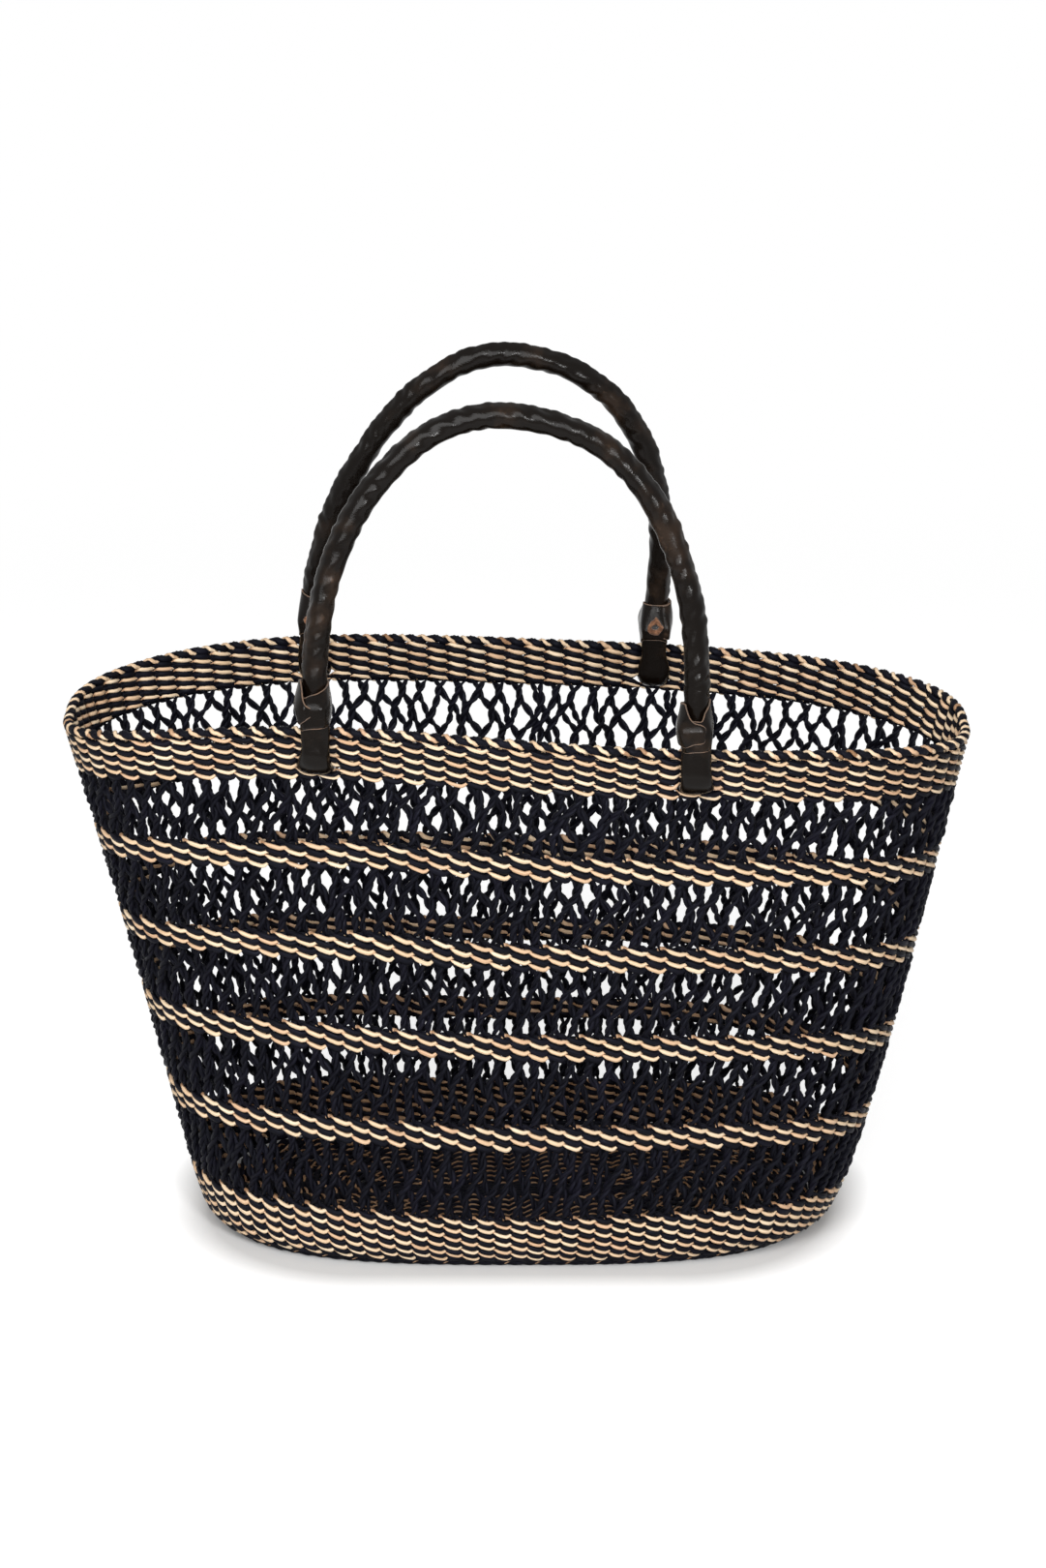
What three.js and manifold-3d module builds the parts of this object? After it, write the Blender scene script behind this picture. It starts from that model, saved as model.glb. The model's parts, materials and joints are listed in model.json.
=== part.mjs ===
// Woven straw tote basket with two leather-wrapped rope handles.
// Millimetres, +Z up. The origin is on the floor under the middle of the basket:
// +X is the basket's right end seen from the front, and +Y points to its back.
import * as THREE from 'three';
import { mergeVertices } from 'three/addons/utils/BufferGeometryUtils.js';
import Module from 'manifold-3d';

// Heights of the woven courses at the middle of the front, from the floor up
const matThickness = 6;
const baseBandHeight = 25.5;
const openworkCount = 5;
const lowestOpenworkHeight = 40;
const highestOpenworkHeight = 35;
const accentBandHeight = 13;
const rimBandHeight = 18.5;
const rimBorderDiameter = 7.5;

// Plan of the wall's middle surface at the floor line and at the mouth
const footLength = 340;
const footDepth = 198;
const mouthLength = 485;
const mouthDepth = 190;
const footSquareness = 3;
const mouthSquareness = 2.8;
const bottomEdgeRadius = 14;

// How the soft wall hangs: the ends droop, the right end slumps and swells a little, and the rim stands
// higher along the back and where the left foot of the front handle holds it up
const endDroop = 12;
const endDroopSpread = 3.5;
const endDroopStart = 30;
const rightSlump = 9;
const rightSwell = 3.5;
const rimLean = 3.9;
const rimLeanWave = 0.8;
const backRise = 4;
const frontLift = 6.3;
const frontLiftAt = -0.45;
const frontLiftSpread = 0.49;

// Wall and openwork lattice
const twinedThickness = 6;
const openworkThickness = 5;
const latticeCells = 34;
const latticeRail = 4;
const latticeGapShare = 0.76;
const clearance = 0.3;

// Handles: an arch of covered rope, whose ends fold through slots in the rim band
const frontHandleCentre = -5.5;
const backHandleCentre = -19;
const frontHandleSpan = 197;
const backHandleSpan = 192;
const frontHandleRise = 170;
const backHandleRise = 173.5;
const backHandleSkew = 9;
const frontArchLeftSquareness = 1.95;
const frontArchRightSquareness = 2.35;
const backArchLeftSquareness = 1.74;
const backArchRightSquareness = 2.4;
const handleLean = 8;
const ropeDiameter = 12.8;
const coverThickness = 1.2;
const loopWidth = 17.6;
const loopTopWidth = 13.2;
const loopThickness = 9;
const loopWallClearance = 1.1;
const slotWallClearance = 0.7;
const slotAboveBand = 2.2;
const collarWidth = 18.6;
const collarHeight = 24.5;
const collarLeather = 1.3;
const collarShoulder = 0.42;
const collarSquareness = 6;
const collarNotch = 0.5;
const collarNotchWidth = 3;
const collarHemRise = 0.22;
const frontCollarAboveBorder = 0.8;
const backCollarAboveBorder = 3.1;
const legInsideCollar = 9.5;
const ropeAboveLegs = 1.8;
const tailWidth = 9;
const tailLength = 10;
const tailHole = 0.3;
const tailLeather = 1.4;

// Facets
const wallColumns = 2 * latticeCells;
const borderSides = 6;
const ropeSides = 8;
const archSteps = 16;
const loopSides = 10;
const loopBendSteps = 8;
const collarSides = 16;
const slotArcPoints = 8;
const outlineSamples = 90;

// Derived sizes
const FRONT = -1;
const BACK = 1;
const borderRadius = rimBorderDiameter / 2;
const ropeRadius = ropeDiameter / 2;
const loopHalfThickness = loopThickness / 2;
const loopOffset = borderRadius + loopHalfThickness + loopWallClearance;
const arches = {
  [FRONT]: {
    centre: frontHandleCentre,
    span: frontHandleSpan,
    collarRise: borderRadius + frontCollarAboveBorder,
    rise: frontHandleRise,
    skew: 0,
    squareness: [frontArchLeftSquareness, frontArchRightSquareness],
  },
  [BACK]: {
    centre: backHandleCentre,
    span: backHandleSpan,
    collarRise: borderRadius + backCollarAboveBorder,
    rise: backHandleRise,
    skew: backHandleSkew,
    squareness: [backArchLeftSquareness, backArchRightSquareness],
  },
};

const straw = new THREE.MeshStandardMaterial({ color: 0xdcb477, roughness: 0.62, metalness: 0 });
const dyedStraw = new THREE.MeshStandardMaterial({ color: 0x211e28, roughness: 0.5, metalness: 0 });
const darkLeather = new THREE.MeshStandardMaterial({ color: 0x2b211c, roughness: 0.35, metalness: 0 });
const tanSuede = new THREE.MeshStandardMaterial({ color: 0x9c7a50, roughness: 0.85, metalness: 0 });
const ropeFibre = new THREE.MeshStandardMaterial({ color: 0x8f7a56, roughness: 0.9, metalness: 0 });

const lerp = THREE.MathUtils.lerp;
const degrees = THREE.MathUtils.degToRad;

// Course edges from the floor up: base band, then openwork and accent bands in turn, then the rim band
function courseLevels() {
  const levels = [{ name: 'base_band', low: matThickness, high: matThickness + baseBandHeight }];
  const last = () => levels[levels.length - 1].high;
  for (let i = 0; i < openworkCount; i += 1) {
    const height = lerp(lowestOpenworkHeight, highestOpenworkHeight, i / (openworkCount - 1));
    levels.push({ name: `openwork_${i + 1}`, low: last(), high: last() + height });
    if (i < openworkCount - 1) {
      levels.push({ name: `accent_band_${i + 1}`, low: last(), high: last() + accentBandHeight });
    }
  }
  levels.push({ name: 'rim_band', low: last(), high: last() + rimBandHeight });
  return levels;
}

const courses = courseLevels();
const rimBand = courses[courses.length - 1];
const borderHeight = rimBand.high + borderRadius;
const bodyHeight = rimBand.high + rimBorderDiameter;

// The wall's plan at a course height: a superellipse that flares towards the mouth
function planAt(height) {
  const rise = height / bodyHeight;
  const corner = Math.max(bottomEdgeRadius - height, 0);
  const inset = bottomEdgeRadius - Math.sqrt(bottomEdgeRadius ** 2 - corner ** 2);
  return {
    a: lerp(footLength, mouthLength, rise) / 2 - inset,
    b: lerp(footDepth, mouthDepth, rise) / 2 - inset,
    n: lerp(footSquareness, mouthSquareness, rise),
  };
}

// Real height of a course at a place along the wall, u from -1 at the left tip to 1 at the right
function sagged(height, u, back) {
  const rise = height / bodyHeight;
  const droop = endDroop * Math.abs(u) ** endDroopSpread * (1 - Math.exp(-((height / endDroopStart) ** 2)));
  const slump = rightSlump * u * Math.abs(u) * Math.sin(Math.PI * rise);
  const lean = rimLean * Math.sin(rimLeanWave * Math.PI * u);
  const held = back > 0
    ? backRise * back ** 0.35
    : frontLift * -back * Math.exp(-(((u - frontLiftAt) / frontLiftSpread) ** 2));
  return height - droop - slump + (held - lean) * rise ** 2;
}

// How far the right end swells outwards below the middle of the wall's height
function swell(height, u) {
  const rise = height / bodyHeight;
  return rightSwell * Math.max(u, 0) ** 3 * 6.75 * rise * (1 - rise) ** 2;
}

// The outline as points at even steps round it, from the right tip through the back
const outlineCache = new Map();
function outlineTable(height) {
  if (!outlineCache.has(height)) {
    const { a, b, n } = planAt(height);
    const points = [];
    for (let i = 0; i <= 4 * outlineSamples; i += 1) {
      const turn = (Math.PI / 2) * (i / outlineSamples);
      const c = Math.cos(turn);
      const s = Math.sin(turn);
      points.push(new THREE.Vector2(
        a * Math.sign(c) * Math.abs(c) ** (2 / n),
        b * Math.sign(s) * Math.abs(s) ** (2 / n),
      ));
    }
    const lengths = [0];
    for (let i = 1; i < points.length; i += 1) {
      lengths.push(lengths[i - 1] + points[i].distanceTo(points[i - 1]));
    }
    outlineCache.set(height, { points, lengths, a, b, n });
  }
  return outlineCache.get(height);
}

// A point on the wall: share is the way round, offset is outwards from the wall's middle
function wallPoint(share, height, offset) {
  const { points, lengths, a, b, n } = outlineTable(height);
  const target = (share - Math.floor(share)) * lengths[lengths.length - 1];
  let i = 1;
  while (lengths[i] < target) i += 1;
  const step = (target - lengths[i - 1]) / (lengths[i] - lengths[i - 1]);
  const flat = points[i - 1].clone().lerp(points[i], step);
  const u = THREE.MathUtils.clamp(flat.x / a, -1, 1);
  const normal = new THREE.Vector2(
    (Math.sign(u) * Math.abs(u) ** (n - 1)) / a,
    (Math.sign(flat.y) * Math.abs(flat.y / b) ** (n - 1)) / b,
  ).normalize();
  return new THREE.Vector3(
    flat.x + swell(height, u) + normal.x * offset,
    flat.y + normal.y * offset,
    sagged(height, u, flat.y / b),
  );
}

// The wall's middle at a given x on the front or the back
function wallAtX(x, side, height) {
  const { a, b, n } = planAt(height);
  const y = side * b * (1 - Math.abs(x / a) ** n) ** (1 / n);
  return new THREE.Vector3(x, y, sagged(height, x / a, y / b));
}

function geometryFrom(points, triangles) {
  const geometry = new THREE.BufferGeometry();
  geometry.setAttribute('position', new THREE.Float32BufferAttribute(points.flatMap((p) => p.toArray()), 3));
  geometry.setIndex(triangles.flat());
  geometry.computeVertexNormals();
  return geometry;
}

// Skin rows of points that all close round, one row beside the next
function stitchRows(rows, closeEnds) {
  const count = rows[0].length;
  const points = rows.flat();
  const triangles = [];
  const last = closeEnds ? rows.length - 1 : rows.length;
  for (let r = 0; r < last; r += 1) {
    const next = (r + 1) % rows.length;
    for (let i = 0; i < count; i += 1) {
      const j = (i + 1) % count;
      triangles.push([r * count + i, r * count + j, next * count + j]);
      triangles.push([r * count + i, next * count + j, next * count + i]);
    }
  }
  if (closeEnds) {
    const middle = (row) => row.reduce((sum, p) => sum.add(p), new THREE.Vector3()).divideScalar(count);
    const first = points.push(middle(rows[0])) - 1;
    const end = points.push(middle(rows[rows.length - 1])) - 1;
    const offset = (rows.length - 1) * count;
    for (let i = 0; i < count; i += 1) {
      const j = (i + 1) % count;
      triangles.push([first, j, i]);
      triangles.push([end, offset + i, offset + j]);
    }
  }
  return geometryFrom(points, triangles);
}

// A closed ring round the basket from a section of [height, offset] corners
function wallRing(section) {
  const rows = section.map(([height, offset]) => {
    const row = [];
    for (let i = 0; i < wallColumns; i += 1) row.push(wallPoint(i / wallColumns, height, offset));
    return row;
  });
  return stitchRows(rows, false);
}

function bandSection(low, high, thickness) {
  const half = thickness / 2;
  return [[low, half], [high, half], [high, -half], [low, -half]];
}

// Openwork: a ring whose crossed strands leave one diamond gap in each cell
function latticeRing(low, high) {
  const points = [];
  const triangles = [];
  const place = (share, height, offset) => points.push(wallPoint(share, height, offset)) - 1;
  const half = openworkThickness / 2;
  const cell = 1 / latticeCells;
  const gapHalf = (cell * latticeGapShare) / 2;
  const middle = (low + high) / 2;
  const sheets = [half, -half].map((offset) => {
    const corners = [];
    for (let i = 0; i < latticeCells; i += 1) {
      const start = i * cell;
      const centre = start + cell / 2;
      corners.push({
        lowStart: place(start, low, offset),
        highStart: place(start, high, offset),
        lowMiddle: place(centre, low, offset),
        highMiddle: place(centre, high, offset),
        gap: [
          place(centre, low + latticeRail, offset),
          place(centre + gapHalf, middle, offset),
          place(centre, high - latticeRail, offset),
          place(centre - gapHalf, middle, offset),
        ],
      });
    }
    return corners;
  });
  const quad = (a, b, c, d) => triangles.push([a, b, c], [a, c, d]);
  for (let i = 0; i < latticeCells; i += 1) {
    const next = (i + 1) % latticeCells;
    sheets.forEach((sheet, k) => {
      const here = sheet[i];
      const there = sheet[next];
      const [bottom, right, top, left] = here.gap;
      const faces = [
        [here.lowStart, here.lowMiddle, bottom], [here.lowStart, bottom, left],
        [here.lowStart, left, here.highStart], [here.highStart, left, top],
        [here.highStart, top, here.highMiddle], [here.highMiddle, top, there.highStart],
        [there.highStart, top, right], [there.highStart, right, there.lowStart],
        [there.lowStart, right, bottom], [there.lowStart, bottom, here.lowMiddle],
      ];
      faces.forEach(([a, b, c]) => triangles.push(k === 0 ? [a, b, c] : [a, c, b]));
    });
    const [outer, inner] = sheets;
    for (let g = 0; g < 4; g += 1) {
      const h = (g + 1) % 4;
      quad(outer[i].gap[h], inner[i].gap[h], inner[i].gap[g], outer[i].gap[g]);
    }
    quad(outer[i].lowStart, inner[i].lowStart, inner[i].lowMiddle, outer[i].lowMiddle);
    quad(outer[i].lowMiddle, inner[i].lowMiddle, inner[next].lowStart, outer[next].lowStart);
    quad(outer[i].highMiddle, inner[i].highMiddle, inner[i].highStart, outer[i].highStart);
    quad(outer[next].highStart, inner[next].highStart, inner[i].highMiddle, outer[i].highMiddle);
  }
  return geometryFrom(points, triangles);
}

// The oval mat: flat below, with the rounded bottom edge of the wall
function baseMat() {
  const half = twinedThickness / 2;
  const rows = [0, matThickness / 2, matThickness].map((height) => {
    const row = [];
    for (let i = 0; i < wallColumns; i += 1) {
      const point = wallPoint(i / wallColumns, height, half);
      if (height === 0) point.z = 0;
      row.push(point);
    }
    return row;
  });
  return stitchRows(rows, true);
}

function rimBorder() {
  const section = [];
  for (let i = 0; i < borderSides; i += 1) {
    const turn = ((i + 0.5) / borderSides) * 2 * Math.PI;
    section.push([borderHeight + borderRadius * Math.sin(turn), borderRadius * Math.cos(turn)]);
  }
  return wallRing(section);
}

// Handle frame at one foot: the rim border's middle, the way the handle leans, and the way inwards
function handleFoot(side, x) {
  const angle = degrees(handleLean);
  return {
    x,
    side,
    border: wallAtX(x, side, borderHeight),
    up: new THREE.Vector3(0, -side * Math.sin(angle), Math.cos(angle)),
    inward: new THREE.Vector3(0, -side * Math.cos(angle), -Math.sin(angle)),
  };
}

function handleFeet(side) {
  return [-1, 1].map((end) => handleFoot(side, arches[side].centre + (end * arches[side].span) / 2));
}

// How far a handle leans along +X at a rise above its feet, which starts inside the collars
function leanAt(side, rise) {
  const arch = arches[side];
  const start = arch.collarRise + collarHeight * collarShoulder;
  const climbed = Math.max(rise - start, 0) / (arch.rise - start);
  return arch.skew * Math.sin((Math.PI / 2) * climbed);
}

// The arch's centre line: straight out of both collars, then a superellipse between them, squarer at
// the right than at the left
function archPoints(side) {
  const [left, right] = handleFeet(side);
  const arch = arches[side];
  const ropeEnd = arch.collarRise + legInsideCollar + ropeAboveLegs;
  const neck = arch.collarRise + collarHeight;
  const onArch = (across, rise) => {
    const point = left.border.clone().lerp(right.border, (1 - across) / 2).addScaledVector(left.up, rise);
    point.x += leanAt(side, rise);
    return point;
  };
  const points = [onArch(1, ropeEnd)];
  for (let i = 0; i <= archSteps; i += 1) {
    const turn = Math.PI * (i / archSteps);
    const c = Math.cos(turn);
    const power = 2 / arch.squareness[c > 0 ? 0 : 1];
    points.push(onArch(Math.sign(c) * Math.abs(c) ** power, lerp(neck, arch.rise, Math.sin(turn) ** power)));
  }
  points.push(onArch(-1, ropeEnd));
  return points;
}

// Rings of points round a path that lies in one plane, whose normal is given; sections has one section
// for each point of the path, or one for all of them
function sectionRings(path, planeNormal, sections) {
  return path.map((point, i) => {
    const section = sections.length === path.length ? sections[i] : sections[0];
    const before = path[Math.max(i - 1, 0)];
    const after = path[Math.min(i + 1, path.length - 1)];
    const along = after.clone().sub(before).normalize();
    const across = planeNormal.clone().addScaledVector(along, -planeNormal.dot(along)).normalize();
    const out = along.clone().cross(across);
    return section.map(([p, q]) => point.clone().addScaledVector(across, p).addScaledVector(out, q));
  });
}

function ellipseSection(halfAcross, halfOut, sides) {
  const section = [];
  for (let i = 0; i < sides; i += 1) {
    const turn = (i / sides) * 2 * Math.PI;
    section.push([halfAcross * Math.cos(turn), halfOut * Math.sin(turn)]);
  }
  return section;
}

// A tube with a wall: outer rings one way and inner rings back, closed at both open ends
function pipe(path, planeNormal, outerRadius, innerRadius) {
  const outer = sectionRings(path, planeNormal, [ellipseSection(outerRadius, outerRadius, ropeSides)]);
  const inner = sectionRings(path, planeNormal, [ellipseSection(innerRadius, innerRadius, ropeSides)]);
  return stitchRows([...outer, ...inner.reverse()], false);
}

function rod(path, planeNormal, radius) {
  return stitchRows(sectionRings(path, planeNormal, [ellipseSection(radius, radius, ropeSides)]), true);
}

// The folded loop: down outside the rim band, through its slot and up again inside
function loopPath(foot) {
  const slot = wallAtX(foot.x, foot.side, rimBand.low + slotAboveBand + loopHalfThickness);
  const bendCentre = new THREE.Vector3(foot.x, slot.y, slot.z + loopOffset);
  const legTop = (inwards) => foot.border.clone()
    .addScaledVector(foot.inward, inwards * (loopOffset - clearance))
    .addScaledVector(foot.up, arches[foot.side].collarRise + legInsideCollar);
  const path = [legTop(-1)];
  for (let i = 0; i <= loopBendSteps; i += 1) {
    const turn = Math.PI * (i / loopBendSteps);
    path.push(new THREE.Vector3(
      foot.x,
      bendCentre.y + foot.side * loopOffset * Math.cos(turn),
      bendCentre.z - loopOffset * Math.sin(turn),
    ));
  }
  path.push(legTop(1));
  return path;
}

function handleLoop(foot) {
  const path = loopPath(foot);
  const sections = path.map((point, i) => {
    const width = i === 0 || i === path.length - 1 ? loopTopWidth : loopWidth;
    return ellipseSection(width / 2, loopHalfThickness, loopSides);
  });
  return stitchRows(sectionRings(path, new THREE.Vector3(1, 0, 0), sections), true);
}

// Cutter for the slot in the rim band: a rounded slot that runs through the wall along Y
function slotCutter(foot) {
  const halfHeight = loopHalfThickness + slotWallClearance + clearance;
  const halfStraight = loopWidth / 2 + slotWallClearance - halfHeight;
  const centre = wallAtX(foot.x, foot.side, rimBand.low + slotAboveBand + loopHalfThickness + clearance);
  const rows = [-1, 1].map((end) => {
    const row = [];
    for (let i = 0; i < 2 * slotArcPoints; i += 1) {
      const turn = ((i + 0.5) / (2 * slotArcPoints)) * 2 * Math.PI;
      const shift = Math.sign(Math.cos(turn)) * halfStraight;
      row.push(new THREE.Vector3(
        centre.x + shift + halfHeight * Math.cos(turn),
        centre.y + end * 2 * twinedThickness,
        centre.z + halfHeight * Math.sin(turn),
      ));
    }
    return row;
  });
  return stitchRows(rows.reverse(), true);
}

// The collar's outer skin: a rounded box over the two legs that closes to a round neck on the rope.
// On the outer side the two flaps of the wrap leave a notch between them, and on the inner side its hem
// is higher. It leans with the handle.
const collarLevels = [0, collarShoulder, (1 + collarShoulder) / 2, 1];
function collarPoint(foot, level, turn, inset) {
  const ease = THREE.MathUtils.smoothstep(level, collarShoulder, 1);
  const baseDepth = loopOffset + loopHalfThickness + clearance + collarLeather;
  const neck = ropeRadius + clearance + collarLeather;
  const across = lerp(collarWidth / 2, neck, ease) - inset;
  const depth = lerp(baseDepth, neck, ease) - inset;
  const power = 2 / lerp(collarSquareness, 2, ease);
  const c = Math.cos(turn);
  const s = Math.sin(turn);
  const notch = collarNotch * Math.max(-s, 0) ** collarNotchWidth * Math.max(level - collarShoulder, 0);
  const hem = collarHemRise * Math.max(s, 0) * Math.max(1 - level / collarShoulder, 0);
  const rise = arches[foot.side].collarRise + collarHeight * (level - notch + hem);
  return foot.border.clone()
    .addScaledVector(foot.up, rise)
    .addScaledVector(new THREE.Vector3(1, 0, 0), leanAt(foot.side, rise))
    .addScaledVector(new THREE.Vector3(1, 0, 0), across * Math.sign(c) * Math.abs(c) ** power)
    .addScaledVector(foot.inward, depth * Math.sign(s) * Math.abs(s) ** power);
}

function collar(foot) {
  const ring = (level, inset) => {
    const row = [];
    for (let i = 0; i < collarSides; i += 1) {
      const turn = -foot.side * ((i + 0.5) / collarSides) * 2 * Math.PI;
      row.push(collarPoint(foot, level, turn, inset));
    }
    return row;
  };
  const outer = collarLevels.map((level) => ring(level, 0));
  const inner = collarLevels.map((level) => ring(level, collarLeather)).reverse();
  return stitchRows([...outer, ...inner], false);
}

// The suede tail of the wrapping strap: a lozenge with a hole, which lies on the collar's inner face
function strapTail(foot) {
  const middleLevel = 0.56;
  const acrossTurn = tailWidth / collarWidth;
  const levelHalf = tailLength / 2 / collarHeight;
  const corners = [[0, -1], [0.55, -0.55], [1, 0], [0.55, 0.55], [0, 1], [-0.55, 0.55], [-1, 0], [-0.55, -0.55]];
  const layer = (lift, share) => corners.map(([p, q]) => collarPoint(
    foot,
    middleLevel + q * levelHalf * share,
    Math.PI / 2 + p * acrossTurn * share,
    -lift,
  ));
  const under = 3 * clearance;
  const over = under + tailLeather;
  const rows = [layer(under, 1), layer(over, 1), layer(over, tailHole), layer(under, tailHole)];
  return stitchRows(foot.side === BACK ? rows.reverse() : rows, false);
}

const wasm = await Module();
wasm.setup();

function solidOf(geometry) {
  const bare = geometry.clone();
  bare.deleteAttribute('normal');
  const merged = mergeVertices(bare);
  return new wasm.Manifold(new wasm.Mesh({
    numProp: 3,
    vertProperties: merged.attributes.position.array,
    triVerts: new Uint32Array(merged.index.array),
  }));
}

function geometryOf(solid) {
  const mesh = solid.getMesh();
  const geometry = new THREE.BufferGeometry();
  geometry.setAttribute('position', new THREE.BufferAttribute(mesh.vertProperties, 3));
  geometry.setIndex(new THREE.BufferAttribute(mesh.triVerts, 1));
  geometry.computeVertexNormals();
  return geometry;
}

const tote = new THREE.Group();
function addPiece(name, geometry, material) {
  const mesh = new THREE.Mesh(geometry, material);
  mesh.name = name;
  tote.add(mesh);
}

const feet = { front: handleFeet(FRONT), back: handleFeet(BACK) };

// Basket
addPiece('base_mat', baseMat(), dyedStraw);
for (const course of courses) {
  const low = course.low + clearance / 2;
  const high = course.high - clearance / 2;
  if (course.name.startsWith('openwork')) {
    addPiece(course.name, latticeRing(low, high), dyedStraw);
  } else if (course.name === 'rim_band') {
    let band = solidOf(wallRing(bandSection(low, high, twinedThickness)));
    for (const foot of [...feet.front, ...feet.back]) band = band.subtract(solidOf(slotCutter(foot)));
    addPiece(course.name, geometryOf(band), straw);
  } else {
    addPiece(course.name, wallRing(bandSection(low, high, twinedThickness)), straw);
  }
}
addPiece('rim_border', rimBorder(), straw);

// Handles
for (const [sideName, pair] of Object.entries(feet)) {
  const { side } = pair[0];
  const path = archPoints(side);
  const planeNormal = pair[0].inward;
  const coreRadius = ropeRadius - coverThickness - clearance;
  addPiece(`handle_${sideName}_cover`, pipe(path, planeNormal, ropeRadius, ropeRadius - coverThickness), darkLeather);
  addPiece(`handle_${sideName}_core`, rod(path, planeNormal, coreRadius), ropeFibre);
  pair.forEach((foot, i) => {
    const end = i === 0 ? 'left' : 'right';
    addPiece(`handle_loop_${sideName}_${end}`, handleLoop(foot), darkLeather);
    addPiece(`collar_${sideName}_${end}`, collar(foot), darkLeather);
    addPiece(`strap_tail_${sideName}_${end}`, strapTail(foot), tanSuede);
  });
}

export default tote;
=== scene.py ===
"""Woven straw tote with two leather-wrapped rope handles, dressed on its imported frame.

Metres, +Z up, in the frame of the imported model. Every woven course is made of its real plies: twined rows of a natural
and a dyed ply, crossed two-ply strands in the open courses, and a wrapped border. The handles are leather sleeves over
rope, with folded loops through the rim band and wrapped collars. The surfaces are numpy arrays of points on grids.
"""
import json
import math
from collections import namedtuple

import bpy
import numpy as np
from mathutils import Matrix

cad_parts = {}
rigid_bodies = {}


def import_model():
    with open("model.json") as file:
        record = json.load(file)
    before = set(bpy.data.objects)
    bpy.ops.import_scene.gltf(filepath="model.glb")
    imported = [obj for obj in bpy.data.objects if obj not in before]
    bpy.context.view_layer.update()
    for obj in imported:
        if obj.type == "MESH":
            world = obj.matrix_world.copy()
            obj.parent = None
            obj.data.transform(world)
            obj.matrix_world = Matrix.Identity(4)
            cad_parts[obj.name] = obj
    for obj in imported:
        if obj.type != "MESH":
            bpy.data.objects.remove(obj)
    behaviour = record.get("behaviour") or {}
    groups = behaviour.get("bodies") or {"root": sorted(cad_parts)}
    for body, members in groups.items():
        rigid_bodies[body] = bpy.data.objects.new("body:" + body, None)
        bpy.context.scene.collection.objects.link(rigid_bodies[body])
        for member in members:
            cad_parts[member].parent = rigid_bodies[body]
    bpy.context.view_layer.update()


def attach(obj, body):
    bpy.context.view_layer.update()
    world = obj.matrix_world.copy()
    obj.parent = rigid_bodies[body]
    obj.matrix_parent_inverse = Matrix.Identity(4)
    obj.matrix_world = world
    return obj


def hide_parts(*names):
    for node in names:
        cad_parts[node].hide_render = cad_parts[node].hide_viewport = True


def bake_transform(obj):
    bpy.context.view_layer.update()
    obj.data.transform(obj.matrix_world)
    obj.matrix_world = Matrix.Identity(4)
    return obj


bl_info = {
    "name": "Woven Straw Tote",
    "version": (1, 0, 0),
    "blender": (4, 5, 0),
    "location": "View3D > Sidebar > Tote",
    "description": "Builds a twined straw tote with two leather-wrapped rope handles",
    "category": "Object",
}

for leftover in list(bpy.data.objects):
    bpy.data.objects.remove(leftover, do_unlink=True)
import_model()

MM = 0.001
TAU = 2 * math.pi
FRONT, BACK = -1, 1

# Course heights and the wall's plan, as in the solid model, but with a rounder edge at the bottom
MAT_THICKNESS = 6 * MM
BASE_BAND_HEIGHT = 25.5 * MM
OPENWORK_COUNT = 5
LOWEST_OPENWORK = 40 * MM
HIGHEST_OPENWORK = 35 * MM
ACCENT_HEIGHT = 13 * MM
RIM_BAND_HEIGHT = 18.5 * MM
BORDER_DIAMETER = 7.5 * MM
BORDER_OVERLAP = 3.0 * MM
FOOT_LENGTH, FOOT_DEPTH = 340 * MM, 198 * MM
MOUTH_LENGTH, MOUTH_DEPTH = 485 * MM, 190 * MM
FOOT_SQUARENESS, MOUTH_SQUARENESS = 3.0, 2.8
BOTTOM_EDGE_RADIUS = 19 * MM
END_DROOP, END_DROOP_SPREAD, END_DROOP_START = 12 * MM, 3.5, 30 * MM
RIGHT_SLUMP, RIGHT_SWELL = 9 * MM, 3.5 * MM
RIM_LEAN, RIM_LEAN_WAVE = 3.9 * MM, 0.8
BACK_RISE = 4 * MM
FRONT_LIFT, FRONT_LIFT_AT, FRONT_LIFT_SPREAD = 6.3 * MM, -0.45, 0.49
HELD_BACK_SPREAD = 0.35

# How much higher the courses run on the wall at its left and its right end, by course height, how this rise spreads,
# and how much they swell at the left of the front, round one height
RISE_LEVELS = np.array((6, 31.5, 78, 130, 180, 230, 271)) * MM
LEFT_RISES = np.array((0, 12, 9, 6.5, 2, 0.8, 0)) * MM
RIGHT_RISES = np.array((0, 10.5, 8, 6.8, 5.5, 3.5, 0)) * MM
RISE_SPREAD = 1.7
FRONT_SWELL, FRONT_SWELL_AT, FRONT_SWELL_SPREAD = 2.8 * MM, -0.34, 0.15
SWELL_HEIGHT, SWELL_HEIGHT_SPREAD = 205 * MM, 38 * MM

# How much lower the courses run in the middle of the back, by course height, and how this spreads
SINK_LEVELS = np.array((0, 31.5, 78, 130, 180, 230, 268)) * MM
BACK_SINKS = np.array((0, 1.6, 2.6, 5.5, 5.5, 2.5, 0)) * MM
BACK_SINK_SPREAD = 0.6

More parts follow.
